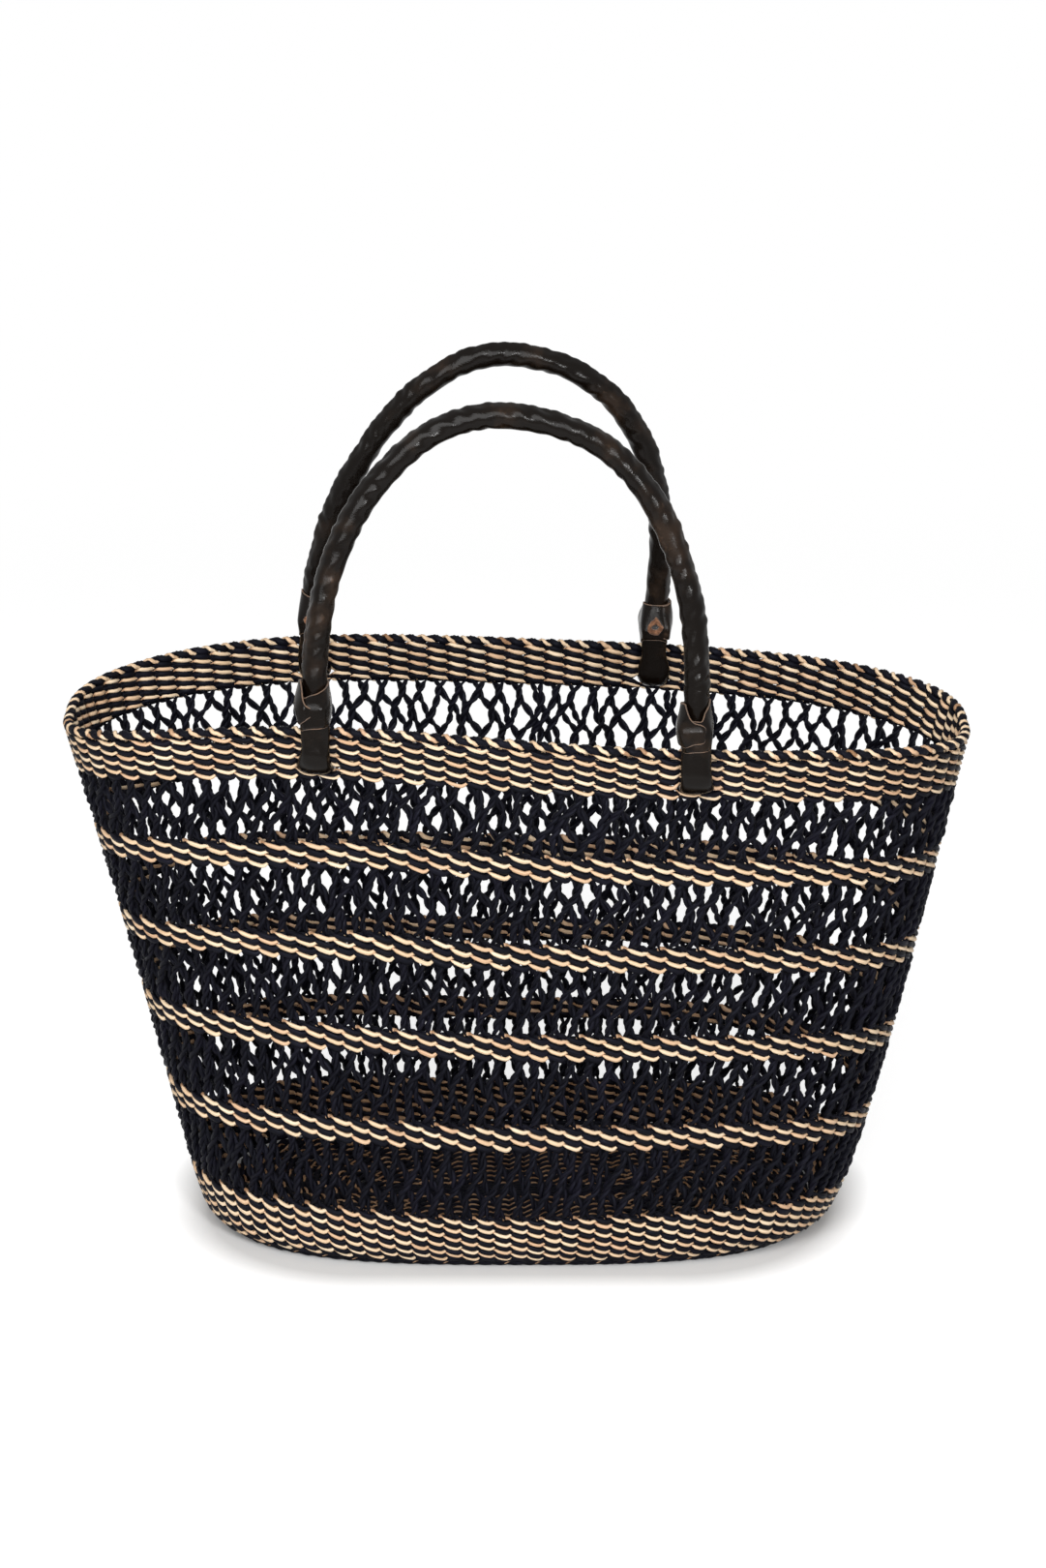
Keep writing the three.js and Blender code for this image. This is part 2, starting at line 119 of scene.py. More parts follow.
# Handles, as in the solid model. The height of the collars and of the arch's top are over the border
Arch = namedtuple("Arch", "centre span collar_rise top lean left_squareness right_squareness")
ARCHES = {
    FRONT: Arch(-5.5 * MM, 197 * MM, 4.55 * MM, 170 * MM, 0.0, 1.95, 2.35),
    BACK: Arch(-19 * MM, 192 * MM, 6.85 * MM, 173.5 * MM, 9 * MM, 1.74, 2.4),
}
HANDLE_LEAN = math.radians(8)
ROPE_RADIUS = 6.4 * MM
COVER_THICKNESS = 1.2 * MM
LOOP_WIDTH, LOOP_TOP_WIDTH, LOOP_THICKNESS = 17.6 * MM, 13.2 * MM, 9 * MM
LOOP_CLEARANCE = 1.1 * MM
LOOP_OFFSET = BORDER_DIAMETER / 2 + LOOP_THICKNESS / 2 + LOOP_CLEARANCE
SLOT_ABOVE_BAND = 2.2 * MM
COLLAR_WIDTH, COLLAR_HEIGHT = 18.6 * MM, 24.5 * MM
COLLAR_LEATHER = 1.3 * MM
COLLAR_SHOULDER, COLLAR_SQUARENESS = 0.42, 6.0
COLLAR_HEM_RISE = 0.22
LEG_IN_COLLAR, ROPE_ABOVE_LEGS = 9.5 * MM, 1.8 * MM
CLEARANCE = 0.3 * MM


def course_levels():
    """Low and high course height of each woven course, by node name, from the floor up."""
    levels = {"base_band": (MAT_THICKNESS, MAT_THICKNESS + BASE_BAND_HEIGHT)}
    low = levels["base_band"][1]
    for i in range(OPENWORK_COUNT):
        height = LOWEST_OPENWORK + (HIGHEST_OPENWORK - LOWEST_OPENWORK) * i / (OPENWORK_COUNT - 1)
        levels[f"openwork_{i + 1}"] = (low, low + height)
        low += height
        if i < OPENWORK_COUNT - 1:
            levels[f"accent_band_{i + 1}"] = (low, low + ACCENT_HEIGHT)
            low += ACCENT_HEIGHT
    levels["rim_band"] = (low, low + RIM_BAND_HEIGHT)
    return levels


COURSES = course_levels()
RIM_LOW, RIM_HIGH = COURSES["rim_band"]
BORDER_HEIGHT = RIM_HIGH + BORDER_DIAMETER / 2
BODY_HEIGHT = RIM_HIGH + BORDER_DIAMETER
SLOT_HEIGHT = RIM_LOW + SLOT_ABOVE_BAND + LOOP_THICKNESS / 2


def mix(a, b, t):
    """From a at t = 0 to b at t = 1, along a straight line."""
    return a + (b - a) * t


def smooth(t):
    """Smooth step from 0 to 1 as t goes from 0 to 1."""
    t = np.clip(t, 0, 1)
    return t * t * (3 - 2 * t)


def power(value, exponent):
    """Signed power, which turns a circle into a superellipse."""
    return np.sign(value) * np.abs(value) ** exponent


def unit(vectors):
    """Vectors made one long."""
    return vectors / np.linalg.norm(vectors, axis=-1, keepdims=True)


def plan(height):
    """Half length, half depth and exponent of the wall's superellipse at a course height."""
    rise = height / BODY_HEIGHT
    corner = np.maximum(BOTTOM_EDGE_RADIUS - height, 0)
    inset = BOTTOM_EDGE_RADIUS - np.sqrt(np.maximum(BOTTOM_EDGE_RADIUS**2 - corner**2, 0))
    a = mix(FOOT_LENGTH, MOUTH_LENGTH, rise) / 2 - inset
    b = mix(FOOT_DEPTH, MOUTH_DEPTH, rise) / 2 - inset
    return a, b, mix(FOOT_SQUARENESS, MOUTH_SQUARENESS, rise)


def sagged(height, u, back):
    """Real height of a course: the ends droop, the right end slumps, and the back and the front's left hold the rim up.

    u goes from -1 at the left tip to 1 at the right one, and back from -1 at the front to 1 at the back.
    """
    rise = height / BODY_HEIGHT
    droop = END_DROOP * np.abs(u) ** END_DROOP_SPREAD * (1 - np.exp(-((height / END_DROOP_START) ** 2)))
    slump = RIGHT_SLUMP * u * np.abs(u) * np.sin(math.pi * rise)
    lean = RIM_LEAN * np.sin(RIM_LEAN_WAVE * math.pi * u)
    held_back = BACK_RISE * np.maximum(back, 0) ** HELD_BACK_SPREAD
    held_front = FRONT_LIFT * np.maximum(-back, 0) * np.exp(-(((u - FRONT_LIFT_AT) / FRONT_LIFT_SPREAD) ** 2))
    return height - droop - slump + (held_back + held_front - lean) * rise**2


class Wall:
    """The basket's wall, tabled by course height and by share of the way round.

    The middle surface runs at each height along |x/a|^n + |y/b|^n = 1. A share from 0 to 1 goes round it at an even
    pace, from the right tip through the back, so columns of equal share are stakes.
    """

    rows, columns, turns = 120, 1664, 5760

    def __init__(self):
        # A little above the border, so that its upper side can be looked up too
        self.top = BODY_HEIGHT + 4 * MM
        height = np.linspace(0, self.top, self.rows)[:, None]
        turn = np.linspace(0, TAU, self.turns + 1)[None]
        a, b, n = plan(height)
        x = a * power(np.cos(turn), 2 / n)
        y = b * power(np.sin(turn), 2 / n)
        steps = np.hypot(np.diff(x), np.diff(y))
        length = np.concatenate([np.zeros((self.rows, 1)), np.cumsum(steps, axis=1)], axis=1)
        self.length = length[:, -1]
        share = np.linspace(0, 1, self.columns + 1)
        even = [
            [np.interp(share, along / along[-1], values) for values in (xs, ys)]
            for along, xs, ys in zip(length, x, y)
        ]
        x, y = np.swapaxes(np.array(even), 0, 1)
        u, v = np.clip(x / a, -1, 1), y / b
        normal = unit(np.stack([power(u, n - 1) / a, power(v, n - 1) / b], -1))
        rise = height / BODY_HEIGHT
        # The right end swells by rise * (1 - rise) ** 2, which is 4 / 27 at most
        swell = RIGHT_SWELL * np.maximum(u, 0) ** 3 * 6.75 * rise * (1 - rise) ** 2
        self.table = np.concatenate([np.stack([x + swell, y, sagged(height, u, v)], -1), normal], -1)
        self.across = u[self.rows // 3]

    def read(self, share, height):
        """Point and level outward normal at each share and height, between the four nearest table entries."""
        share, height = np.broadcast_arrays(np.asarray(share, float), np.asarray(height, float))
        row = np.clip(height / self.top * (self.rows - 1), 0, self.rows - 1.0001)
        column = (share % 1.0) * self.columns
        i, j = row.astype(int), np.minimum(column.astype(int), self.columns - 1)
        s, t = (row - i)[..., None], (column - j)[..., None]
        table = self.table
        value = mix(mix(table[i, j], table[i, j + 1], t), mix(table[i + 1, j], table[i + 1, j + 1], t), s)
        normal = np.concatenate([unit(value[..., 3:]), np.zeros(value.shape[:-1] + (1,))], -1)
        return value[..., :3], normal

    def end_rise(self, share, height):
        """How much higher a course runs at a share.

        It is the end's rise for its height, times |u| to the power of the spread. A bell-shaped swell is added at the
        front's left, and the sinking of the courses is taken off in the middle of the back.
        """
        share = np.asarray(share) % 1.0
        u = np.interp(share, np.linspace(0, 1, self.columns + 1), self.across)
        rise = np.where(u < 0, np.interp(height, RISE_LEVELS, LEFT_RISES), np.interp(height, RISE_LEVELS, RIGHT_RISES))
        beside, above = (u - FRONT_SWELL_AT) / FRONT_SWELL_SPREAD, (height - SWELL_HEIGHT) / SWELL_HEIGHT_SPREAD
        swell = np.exp(-(beside**2) - above**2)
        sink = np.interp(height, SINK_LEVELS, BACK_SINKS) * smooth((1 - np.abs(u)) / BACK_SINK_SPREAD)
        return rise * np.abs(u) ** RISE_SPREAD + np.where(share > 0.5, FRONT_SWELL * swell, -sink)

    def place(self, share, height, offset=0.0):
        """Points on the wall, moved outwards by offset, and the normals there."""
        point, normal = self.read(share, height + self.end_rise(share, height))
        return point + normal * np.asarray(offset)[..., None], normal

    def at_x(self, x, side, height):
        """The wall's middle and its share at a given x on the front or the back."""
        share = np.linspace(0, 0.5, 20001) + (0.5 if side == FRONT else 0)
        point, _ = self.read(share, height)
        nearest = np.argmin(np.abs(point[:, 0] - x))
        return point[nearest], share[nearest]

    def round_length(self, height):
        """Length of the way round at a course height."""
        return float(np.interp(height, np.linspace(0, self.top, self.rows), self.length))


WALL = Wall()


class Foot:
    """One foot of a handle: the border's middle under it, the way the handle leans and the way inwards."""

    def __init__(self, side, end):
        arch = ARCHES[side]
        self.side = side
        self.collar_rise = arch.collar_rise
        self.x = arch.centre + end * arch.span / 2
        self.border, self.share = WALL.at_x(self.x, side, BORDER_HEIGHT)
        self.border = np.array([self.x, *self.border[1:]])
        lean_sin, lean_cos = math.sin(HANDLE_LEAN), math.cos(HANDLE_LEAN)
        self.up = np.array([0, -side * lean_sin, lean_cos])
        self.inward = np.array([0, -side * lean_cos, -lean_sin])
        self.right = np.array([-side, 0.0, 0.0])
        self.name = f"{'front' if side == FRONT else 'back'}_{'left' if end < 0 else 'right'}"
        self.body = "handle_front" if side == FRONT else "handle_back"

    def distance(self, share):
        """Distance from this foot to other places round the border."""
        return np.abs((share - self.share + 0.5) % 1 - 0.5) * WALL.round_length(BORDER_HEIGHT)


FEET = {side: [Foot(side, -1), Foot(side, 1)] for side in (FRONT, BACK)}
ALL_FEET = FEET[FRONT] + FEET[BACK]


def frame_along(path, normal, looped=False):
    """Two section axes at each point of paths: wide lies across the path and thick is near the given normal."""
    if looped:
        along = np.roll(path, -1, axis=1) - np.roll(path, 1, axis=1)
    else:
        along = np.gradient(path, axis=1)
    along = unit(along)
    wide = unit(np.cross(normal, along))
    return wide, np.cross(along, wide)


def tube(path, wide, thick, half_wide, half_thick, sides, squareness=2.0):
    """Rings of points round paths, path + wide * half_wide * cos(a) + thick * half_thick * sin(a), in equal steps of a.

    The cosine and the sine are raised to 2 / squareness, which makes the section a superellipse.
    """
    angle = (np.arange(sides) + 0.5) / sides * TAU
    c = power(np.cos(angle), 2 / squareness)[:, None]
    s = power(np.sin(angle), 2 / squareness)[:, None]
    half_wide = np.broadcast_to(half_wide, path.shape[:2])[..., None, None]
    half_thick = np.broadcast_to(half_thick, path.shape[:2])[..., None, None]
    return path[:, :, None] + wide[:, :, None] * half_wide * c + thick[:, :, None] * half_thick * s


def even_pace(line, steps):
    """Points at an even pace along a line, and the metres along it of each."""
    length = np.concatenate([[0], np.cumsum(np.linalg.norm(np.diff(line, axis=0), axis=1))])
    where = np.linspace(0, length[-1], steps)
    return np.stack([np.interp(where, length, line[:, i]) for i in range(3)], -1), where


def grid_faces(count, looped):
    """Corner numbers of the quads of strands of rings, and of the two end caps of each open strand."""
    strands, steps, sides = count
    number = np.arange(strands * steps * sides).reshape(count)
    here = number if looped else number[:, :-1]
    there = np.roll(number, -1, axis=1) if looped else number[:, 1:]
    quads = np.stack([here, np.roll(here, -1, axis=2), np.roll(there, -1, axis=2), there], -1)
    caps = np.empty((0, sides), int) if looped else np.concatenate([number[:, 0, ::-1], number[:, -1]])
    return quads.reshape(-1, 4), caps


def encloses(points, quads, caps):
    """Signed volume of a closed surface, negative where its faces point inwards."""
    points = points - points.mean(axis=0)
    corner = points[quads]
    area = np.cross(corner[:, 2] - corner[:, 0], corner[:, 3] - corner[:, 1]) / 2
    volume = np.einsum("ij,ij", corner.mean(axis=1), area)
    if len(caps):
        ring = points[caps]
        area = np.cross(ring, np.roll(ring, -1, axis=1)).sum(axis=1) / 2
        volume += np.einsum("ij,ij", ring.mean(axis=1), area)
    return volume


class Skin:
    """Gathers strands of rings into one mesh, with a UV map in metres along and turns round, and a tint per point."""

    def __init__(self):
        self.points, self.corners, self.totals, self.uv, self.tint, self.finish = [], [], [], [], [], []
        self.count = 0

    def add(self, points, looped=False, length=1.0, tint=0.5, finish=0):
        """points is strands x steps x sides x 3, and length the metres along each strand."""
        count = points.shape[:3]
        steps, sides = count[1:]
        flat = points.reshape(-1, 3)
        quads, caps = grid_faces(count, looped)
        spans = steps if looped else steps - 1
        u = np.arange(spans + 1) / spans * length
        v = np.arange(sides + 1) / sides
        u0, v0 = np.meshgrid(u[:-1], v[:-1], indexing="ij")
        u1, v1 = np.meshgrid(u[1:], v[1:], indexing="ij")
        patch = np.stack([np.stack(corner, -1) for corner in ((u0, v0), (u0, v1), (u1, v1), (u1, v0))], 2)
        uv = np.broadcast_to(patch.reshape(1, -1, 4, 2), (count[0], spans * sides, 4, 2)).reshape(-1, 4, 2)
        cap_uv = np.zeros((len(caps), sides, 2))
        cap_uv[..., 1] = np.arange(sides) / sides
        if encloses(flat, quads, caps) < 0:
            quads, caps, uv = quads[:, ::-1], caps[:, ::-1], uv[:, ::-1]
        self.points.append(flat)
        self.corners += [(quads + self.count).ravel(), (caps + self.count).ravel()]
        self.totals += [np.full(len(quads), 4), np.full(len(caps), sides)]
        self.uv += [uv.reshape(-1, 2), cap_uv.reshape(-1, 2)]
        self.finish.append(np.full(len(quads) + len(caps), finish))
        tint = np.asarray(tint, float)
        self.tint.append(np.broadcast_to(tint.reshape(tint.shape + (1,) * (3 - tint.ndim)), count).ravel())
        self.count += len(flat)

    def build(self, name, materials):
        """The mesh object, smooth shaded, with its place in its mesh."""
        mesh = bpy.data.meshes.new(name)
        points, corners = np.concatenate(self.points), np.concatenate(self.corners)
        totals = np.concatenate(self.totals)
        mesh.vertices.add(len(points))
        mesh.vertices.foreach_set("co", points.ravel().astype(np.float32))
        mesh.loops.add(len(corners))
        mesh.loops.foreach_set("vertex_index", corners.astype(np.int32))
        mesh.polygons.add(len(totals))
        starts = np.concatenate([[0], np.cumsum(totals)[:-1]])
        mesh.polygons.foreach_set("loop_start", starts.astype(np.int32))
        mesh.polygons.foreach_set("material_index", np.concatenate(self.finish).astype(np.int32))
        mesh.update(calc_edges=True)
        layer = mesh.uv_layers.new(name="Along")
        layer.uv.foreach_set("vector", np.concatenate(self.uv).ravel().astype(np.float32))
        tint = mesh.attributes.new("tint", "FLOAT", "POINT")
        tint.data.foreach_set("value", np.concatenate(self.tint).astype(np.float32))
        mesh.validate()
        mesh.shade_smooth()
        for material in materials:
            mesh.materials.append(material)
        piece = bpy.data.objects.new(name, mesh)
        bpy.context.scene.collection.objects.link(piece)
        return piece


def uneven(rng, share, least, most, waves=6):
    """Seeded unevenness round a ring: a sum of sines with whole numbers of waves, about -1 to 1."""
    counts = rng.integers(least, most + 1, waves).astype(float)
    phases = rng.uniform(0, TAU, waves)
    share = np.asarray(share)
    return np.sin(TAU * share[..., None] * counts + phases).sum(-1) / math.sqrt(waves)


def ripples(rng, angle, where, turns, shortest, longest):
    """Seeded waves on a tube, as a sum of sines.

    turns has the waves round the tube of each sine, whose length along it is drawn from shortest to longest.
    """
    lengths, phases = rng.uniform(shortest, longest, len(turns)), rng.uniform(0, TAU, len(turns))
    return sum(
        np.sin(k * angle + TAU * where / length + phase) for k, length, phase in zip(turns, lengths, phases)
    )


def dress(piece, body, slot, *nodes):
    """Rides a finished piece on its body and hides the nodes it stands for. The slot is not used."""
    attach(piece, body)
    if nodes:
        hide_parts(*nodes)
    return piece


def add_node(tree, kind, place=(0, 0), **values):
    """A shader node. Keywords that name an input set its value, and the others set a property."""
    made = tree.nodes.new(kind)
    made.location = place
    for key, value in values.items():
        name = key.replace("_", " ")
        socket = next((s for s in made.inputs if s.name.lower() == name.lower()), None)
        if socket is not None:
            socket.default_value = value
        else:
            setattr(made, key, value)
    return made


def wire(tree, source, target):
    """Feeds a socket from another one, or sets it to a plain value."""
    if isinstance(source, bpy.types.NodeSocket):
        tree.links.new(source, target)
    else:
        target.default_value = source


def calculate(tree, operation, *values, place=(0, 0), kind="ShaderNodeMath"):
    """The result of a maths node, from values that are sockets or plain numbers."""
    made = add_node(tree, kind, place, operation=operation)
    for value, socket in zip(values, made.inputs):
        wire(tree, value, socket)
    return made.outputs["Value" if operation == "LENGTH" else 0]


def new_group(name, inputs, outputs):
    """An empty node group with named number inputs, each with a default, and named number outputs."""
    group = bpy.data.node_groups.new(name, "ShaderNodeTree")
    for label, default in inputs.items():
        socket = group.interface.new_socket(name=label, in_out="INPUT", socket_type="NodeSocketFloat")
        socket.default_value = default
    for label in outputs:
        group.interface.new_socket(name=label, in_out="OUTPUT", socket_type="NodeSocketFloat")
    start = add_node(group, "NodeGroupInput", (-900, 0))
    end = add_node(group, "NodeGroupOutput", (700, 0))
    return group, start, end


def fibre_group():
    """Plant fibre that runs along a ply: noise drawn out along the UV map, as a streak mask and a height.

    The noise is read at (metres along * Along Scale, circle round the ply * Across Scale), so it meets itself all
    round. Its fourth coordinate is the tint, so that no two stitches have the same streaks.
    """
    name = "Straw Fibre"
    if name in bpy.data.node_groups:
        return bpy.data.node_groups[name]
    group, start, end = new_group(name, {"Along Scale": 90.0, "Across Scale": 9.0, "Seed": 0.0}, ("Streak", "Height"))
    uv = add_node(group, "ShaderNodeUVMap", (-900, 300), uv_map="Along")
    parts = add_node(group, "ShaderNodeSeparateXYZ", (-720, 300))
    wire(group, uv.outputs["UV"], parts.inputs[0])
    tint = add_node(group, "ShaderNodeAttribute", (-900, -200), attribute_name="tint")
    spot = add_node(group, "ShaderNodeCombineXYZ", (-180, 160))
    along = calculate(group, "MULTIPLY", parts.outputs["X"], start.outputs["Along Scale"], place=(-540, 300))
    wire(group, along, spot.inputs["X"])
    turn = calculate(group, "MULTIPLY", parts.outputs["Y"], TAU, place=(-540, 140))
    for operation, label, high in (("COSINE", "Y", 140), ("SINE", "Z", 0)):
        circle = calculate(group, operation, turn, place=(-450, high))
        scaled = calculate(group, "MULTIPLY", circle, start.outputs["Across Scale"], place=(-310, high))
        wire(group, scaled, spot.inputs[label])
    tint_reach = 41.0
    shift = calculate(
        group, "MULTIPLY_ADD", tint.outputs["Fac"], tint_reach, start.outputs["Seed"], place=(-540, -200),
    )
    noise = add_node(
        group, "ShaderNodeTexNoise", (20, 160), noise_dimensions="4D", Scale=1.0, Detail=3.0, Roughness=0.62,
    )
    wire(group, spot.outputs[0], noise.inputs["Vector"])
    wire(group, shift, noise.inputs["W"])
    streak = add_node(group, "ShaderNodeMapRange", (240, 160), From_Min=0.32, From_Max=0.68)
    wire(group, noise.outputs["Fac"], streak.inputs["Value"])
    wire(group, streak.outputs["Result"], end.inputs["Streak"])
    wire(group, noise.outputs["Fac"], end.inputs["Height"])
    return group


def patch_group():
    """Large soft patches and fine specks from Object coordinates, for wear, dirt and uneven dye."""
    name = "Patches"
    if name in bpy.data.node_groups:
        return bpy.data.node_groups[name]
    group, start, end = new_group(name, {"Size": 0.03, "Low": 0.45, "High": 0.7, "Seed": 0.0}, ("Mask", "Speck"))
    where = add_node(group, "ShaderNodeTexCoord", (-900, 300))
    large = add_node(group, "ShaderNodeTexNoise", (-400, 200), noise_dimensions="4D", Detail=4.0, Roughness=0.6)
    fine = add_node(
        group, "ShaderNodeTexNoise", (-400, -200), noise_dimensions="4D", Detail=3.0, Roughness=0.7, Scale=900.0,
    )
    for texture in (large, fine):
        wire(group, where.outputs["Object"], texture.inputs["Vector"])
        wire(group, start.outputs["Seed"], texture.inputs["W"])
    scale = calculate(group, "DIVIDE", 1.0, start.outputs["Size"], place=(-700, 100))
    wire(group, scale, large.inputs["Scale"])
    mask = add_node(group, "ShaderNodeMapRange", (-100, 200), interpolation_type="SMOOTHSTEP")
    wire(group, large.outputs["Fac"], mask.inputs["Value"])
    wire(group, start.outputs["Low"], mask.inputs["From Min"])
    wire(group, start.outputs["High"], mask.inputs["From Max"])
    wire(group, mask.outputs["Result"], end.inputs["Mask"])
    wire(group, fine.outputs["Fac"], end.inputs["Speck"])
    return group


def use_group(tree, group, place, **values):
    """A node group placed in a material, with its own values."""
    made = tree.nodes.new("ShaderNodeGroup")
    made.node_tree = group
    made.location = place
    for key, value in values.items():
        made.inputs[key.replace("_", " ")].default_value = value
    return made


def blend_colour(tree, factor, first, second, place=(0, 0), kind="MIX"):
    """Mixes two colours, each a socket or a value, by a factor that is a socket or a number."""
    made = tree.nodes.new("ShaderNodeMix")
    made.data_type, made.blend_type, made.location = "RGBA", kind, place
    # A mix node has its sockets for numbers and vectors before those for colours
    for value, socket in ((factor, made.inputs[0]), (first, made.inputs[6]), (second, made.inputs[7])):
        plain_colour = socket.type == "RGBA" and not isinstance(value, bpy.types.NodeSocket)
        wire(tree, (*value[:3], 1.0) if plain_colour else value, socket)
    return made.outputs[2]


def new_material(name, colour, roughness, specular):
    """A material with its Principled BSDF set, shown in the viewport in its plain colour."""
    material = bpy.data.materials.new(name)
    material.use_nodes = True
    material.diffuse_color = (*colour[:3], 1.0)
    shader = material.node_tree.nodes["Principled BSDF"]
    shader.inputs["Base Color"].default_value = (*colour[:3], 1.0)
    shader.inputs["Roughness"].default_value = roughness
    shader.inputs["Specular IOR Level"].default_value = specular
    return material, material.node_tree, shader


def add_bump(tree, shader, height, strength, distance):
    """Bump from a height socket, as the shader's normal."""
    bump = add_node(tree, "ShaderNodeBump", (-200, -400), Strength=strength, Distance=distance)
    wire(tree, height, bump.inputs["Height"])
    wire(tree, bump.outputs["Normal"], shader.inputs["Normal"])


def range_of(tree, source, low, high, place=(0, 0)):
    """A value from 0 to 1 turned into one from low to high."""
    made = add_node(tree, "ShaderNodeMapRange", place, To_Min=low, To_Max=high)
    wire(tree, source, made.inputs["Value"])
    return made.outputs["Result"]


def natural_straw(colours):
    """Natural grass: each stitch between pale cream and pinkish tan, with fibre streaks and a satin surface."""
    material, tree, shader = new_material("Natural straw", colours.straw_light, 0.55, colours.straw_gloss)
    tint = add_node(tree, "ShaderNodeAttribute", (-900, 200), attribute_name="tint")
    ramp = add_node(tree, "ShaderNodeValToRGB", (-700, 200))
    stops = (
        (0.0, colours.straw_shade), (0.22, colours.straw_pink), (0.5, colours.straw_tan), (1.0, colours.straw_light),
    )
    while len(ramp.color_ramp.elements) < len(stops):
        ramp.color_ramp.elements.new(0.5)
    for element, (position, colour) in zip(ramp.color_ramp.elements, stops):
        element.position, element.color = position, (*colour, 1.0)
    wire(tree, tint.outputs["Fac"], ramp.inputs["Fac"])
    fibre = use_group(tree, fibre_group(), (-900, -100), Along_Scale=70.0, Across_Scale=2.6)
    shade = blend_colour(tree, fibre.outputs["Streak"], (0.70, 0.62, 0.52), (1.1, 1.1, 1.1), (-480, 0))
    coloured = blend_colour(tree, 1.0, ramp.outputs["Color"], shade, (-280, 100), "MULTIPLY")
    wire(tree, coloured, shader.inputs["Base Color"])
    wire(tree, range_of(tree, fibre.outputs["Streak"], 0.62, 0.46, (-280, -160)), shader.inputs["Roughness"])
    add_bump(tree, shader, fibre.outputs["Height"], 0.55, 0.0006)
    return material


def dyed_straw(colours):
    """Dyed grass: near black with a blue-violet cast and a silky sheen. It is paler along the fibres, partly by its
    grain and partly by a painted sheen.
    """
    material, tree, shader = new_material("Dyed straw", colours.dyed_dark, 0.4, colours.dyed_gloss)
    shader.inputs["Specular Tint"].default_value = (0.72, 0.78, 1.0, 1.0)
    fibre = use_group(tree, fibre_group(), (-900, -100), Along_Scale=60.0, Across_Scale=3.2, Seed=7.0)
    patches = use_group(tree, patch_group(), (-900, 200), Size=0.02, Seed=3.0)
    body = blend_colour(tree, patches.outputs["Mask"], colours.dyed_dark, colours.dyed_violet, (-500, 200))
    # Partly painted sheen: the fibre streaks make the base colour up to 1.7 times paler, for the grain and for the
    # gloss along the fibres
    sheen = blend_colour(tree, fibre.outputs["Streak"], (0.5, 0.5, 0.5), (1.7, 1.7, 1.7), (-500, 0))
    wire(tree, blend_colour(tree, 1.0, body, sheen, (-280, 100), "MULTIPLY"), shader.inputs["Base Color"])
    gleam = calculate(tree, "POWER", fibre.outputs["Streak"], 3.0, place=(-480, -260))
    wire(tree, range_of(tree, gleam, 0.62, 0.16, (-280, -160)), shader.inputs["Roughness"])
    add_bump(tree, shader, fibre.outputs["Height"], 0.6, 0.0006)
    return material


def dark_leather(colours):
    """Polished dark leather: brown wear in patches, fine pores and creases, uneven gloss."""
    material, tree, shader = new_material("Dark leather", colours.leather_dark, 0.33, colours.leather_gloss)
    patches = use_group(tree, patch_group(), (-900, 200), Size=0.035, Low=0.5, High=0.72)
    scuffs = use_group(tree, patch_group(), (-900, -60), Size=0.006, Low=0.58, High=0.78, Seed=5.0)
    where = add_node(tree, "ShaderNodeTexCoord", (-1100, -300))
    pores = add_node(tree, "ShaderNodeTexVoronoi", (-900, -300), Scale=1400.0, feature="F1")
    creases = add_node(
        tree, "ShaderNodeTexNoise", (-900, -520), Scale=260.0, Detail=5.0, Roughness=0.6, Distortion=0.6,
    )
    wire(tree, where.outputs["Object"], pores.inputs["Vector"])
    wire(tree, where.outputs["Object"], creases.inputs["Vector"])
    worn = blend_colour(tree, patches.outputs["Mask"], colours.leather_dark, colours.leather_worn, (-560, 200))
    scuffed = calculate(tree, "MULTIPLY", scuffs.outputs["Mask"], patches.outputs["Mask"], place=(-700, 0))
    coloured = blend_colour(tree, scuffed, worn, colours.leather_scuff, (-340, 160))
    wire(tree, coloured, shader.inputs["Base Color"])
    wire(tree, range_of(tree, patches.outputs["Mask"], 0.17, 0.34, (-340, -60)), shader.inputs["Roughness"])
    pore_depth = 0.35
    height = calculate(
        tree, "MULTIPLY_ADD", pores.outputs["Distance"], pore_depth, creases.outputs["Fac"], place=(-560, -400),
    )
    add_bump(tree, shader, height, 0.18, 0.0008)
    return material


def raw_edge(colours):
    """The cut edge of the leather: greyed tan, matt, uneven."""
    material, tree, shader = new_material("Raw leather edge", colours.edge_tan, 0.7, 0.15)
    patches = use_group(tree, patch_group(), (-700, 100), Size=0.004, Low=0.35, High=0.65, Seed=9.0)
    soiled = blend_colour(tree, patches.outputs["Mask"], colours.edge_grey, colours.edge_tan, (-400, 100))
    wire(tree, soiled, shader.inputs["Base Color"])
    add_bump(tree, shader, patches.outputs["Speck"], 0.3, 0.0003)
    return material


def tan_suede(colours):
    """Raw tan suede: mottled, matt and fibrous, darker where it is handled."""
    material, tree, shader = new_material("Tan suede", colours.suede, 0.92, 0.1)
    patches = use_group(tree, patch_group(), (-900, 200), Size=0.0022, Low=0.38, High=0.66, Seed=2.0)
    nap = use_group(tree, patch_group(), (-900, -100), Size=0.0007, Low=0.3, High=0.7, Seed=4.0)
    base = blend_colour(tree, patches.outputs["Mask"], colours.suede_dark, colours.suede, (-560, 200))
    lift = blend_colour(tree, nap.outputs["Mask"], (0.78, 0.78, 0.78), (1.16, 1.12, 1.08), (-560, 0))
    wire(tree, blend_colour(tree, 1.0, base, lift, (-340, 120), "MULTIPLY"), shader.inputs["Base Color"])
    shader.inputs["Sheen Weight"].default_value = 0.25
    add_bump(tree, shader, nap.outputs["Mask"], 0.5, 0.0005)
    return material


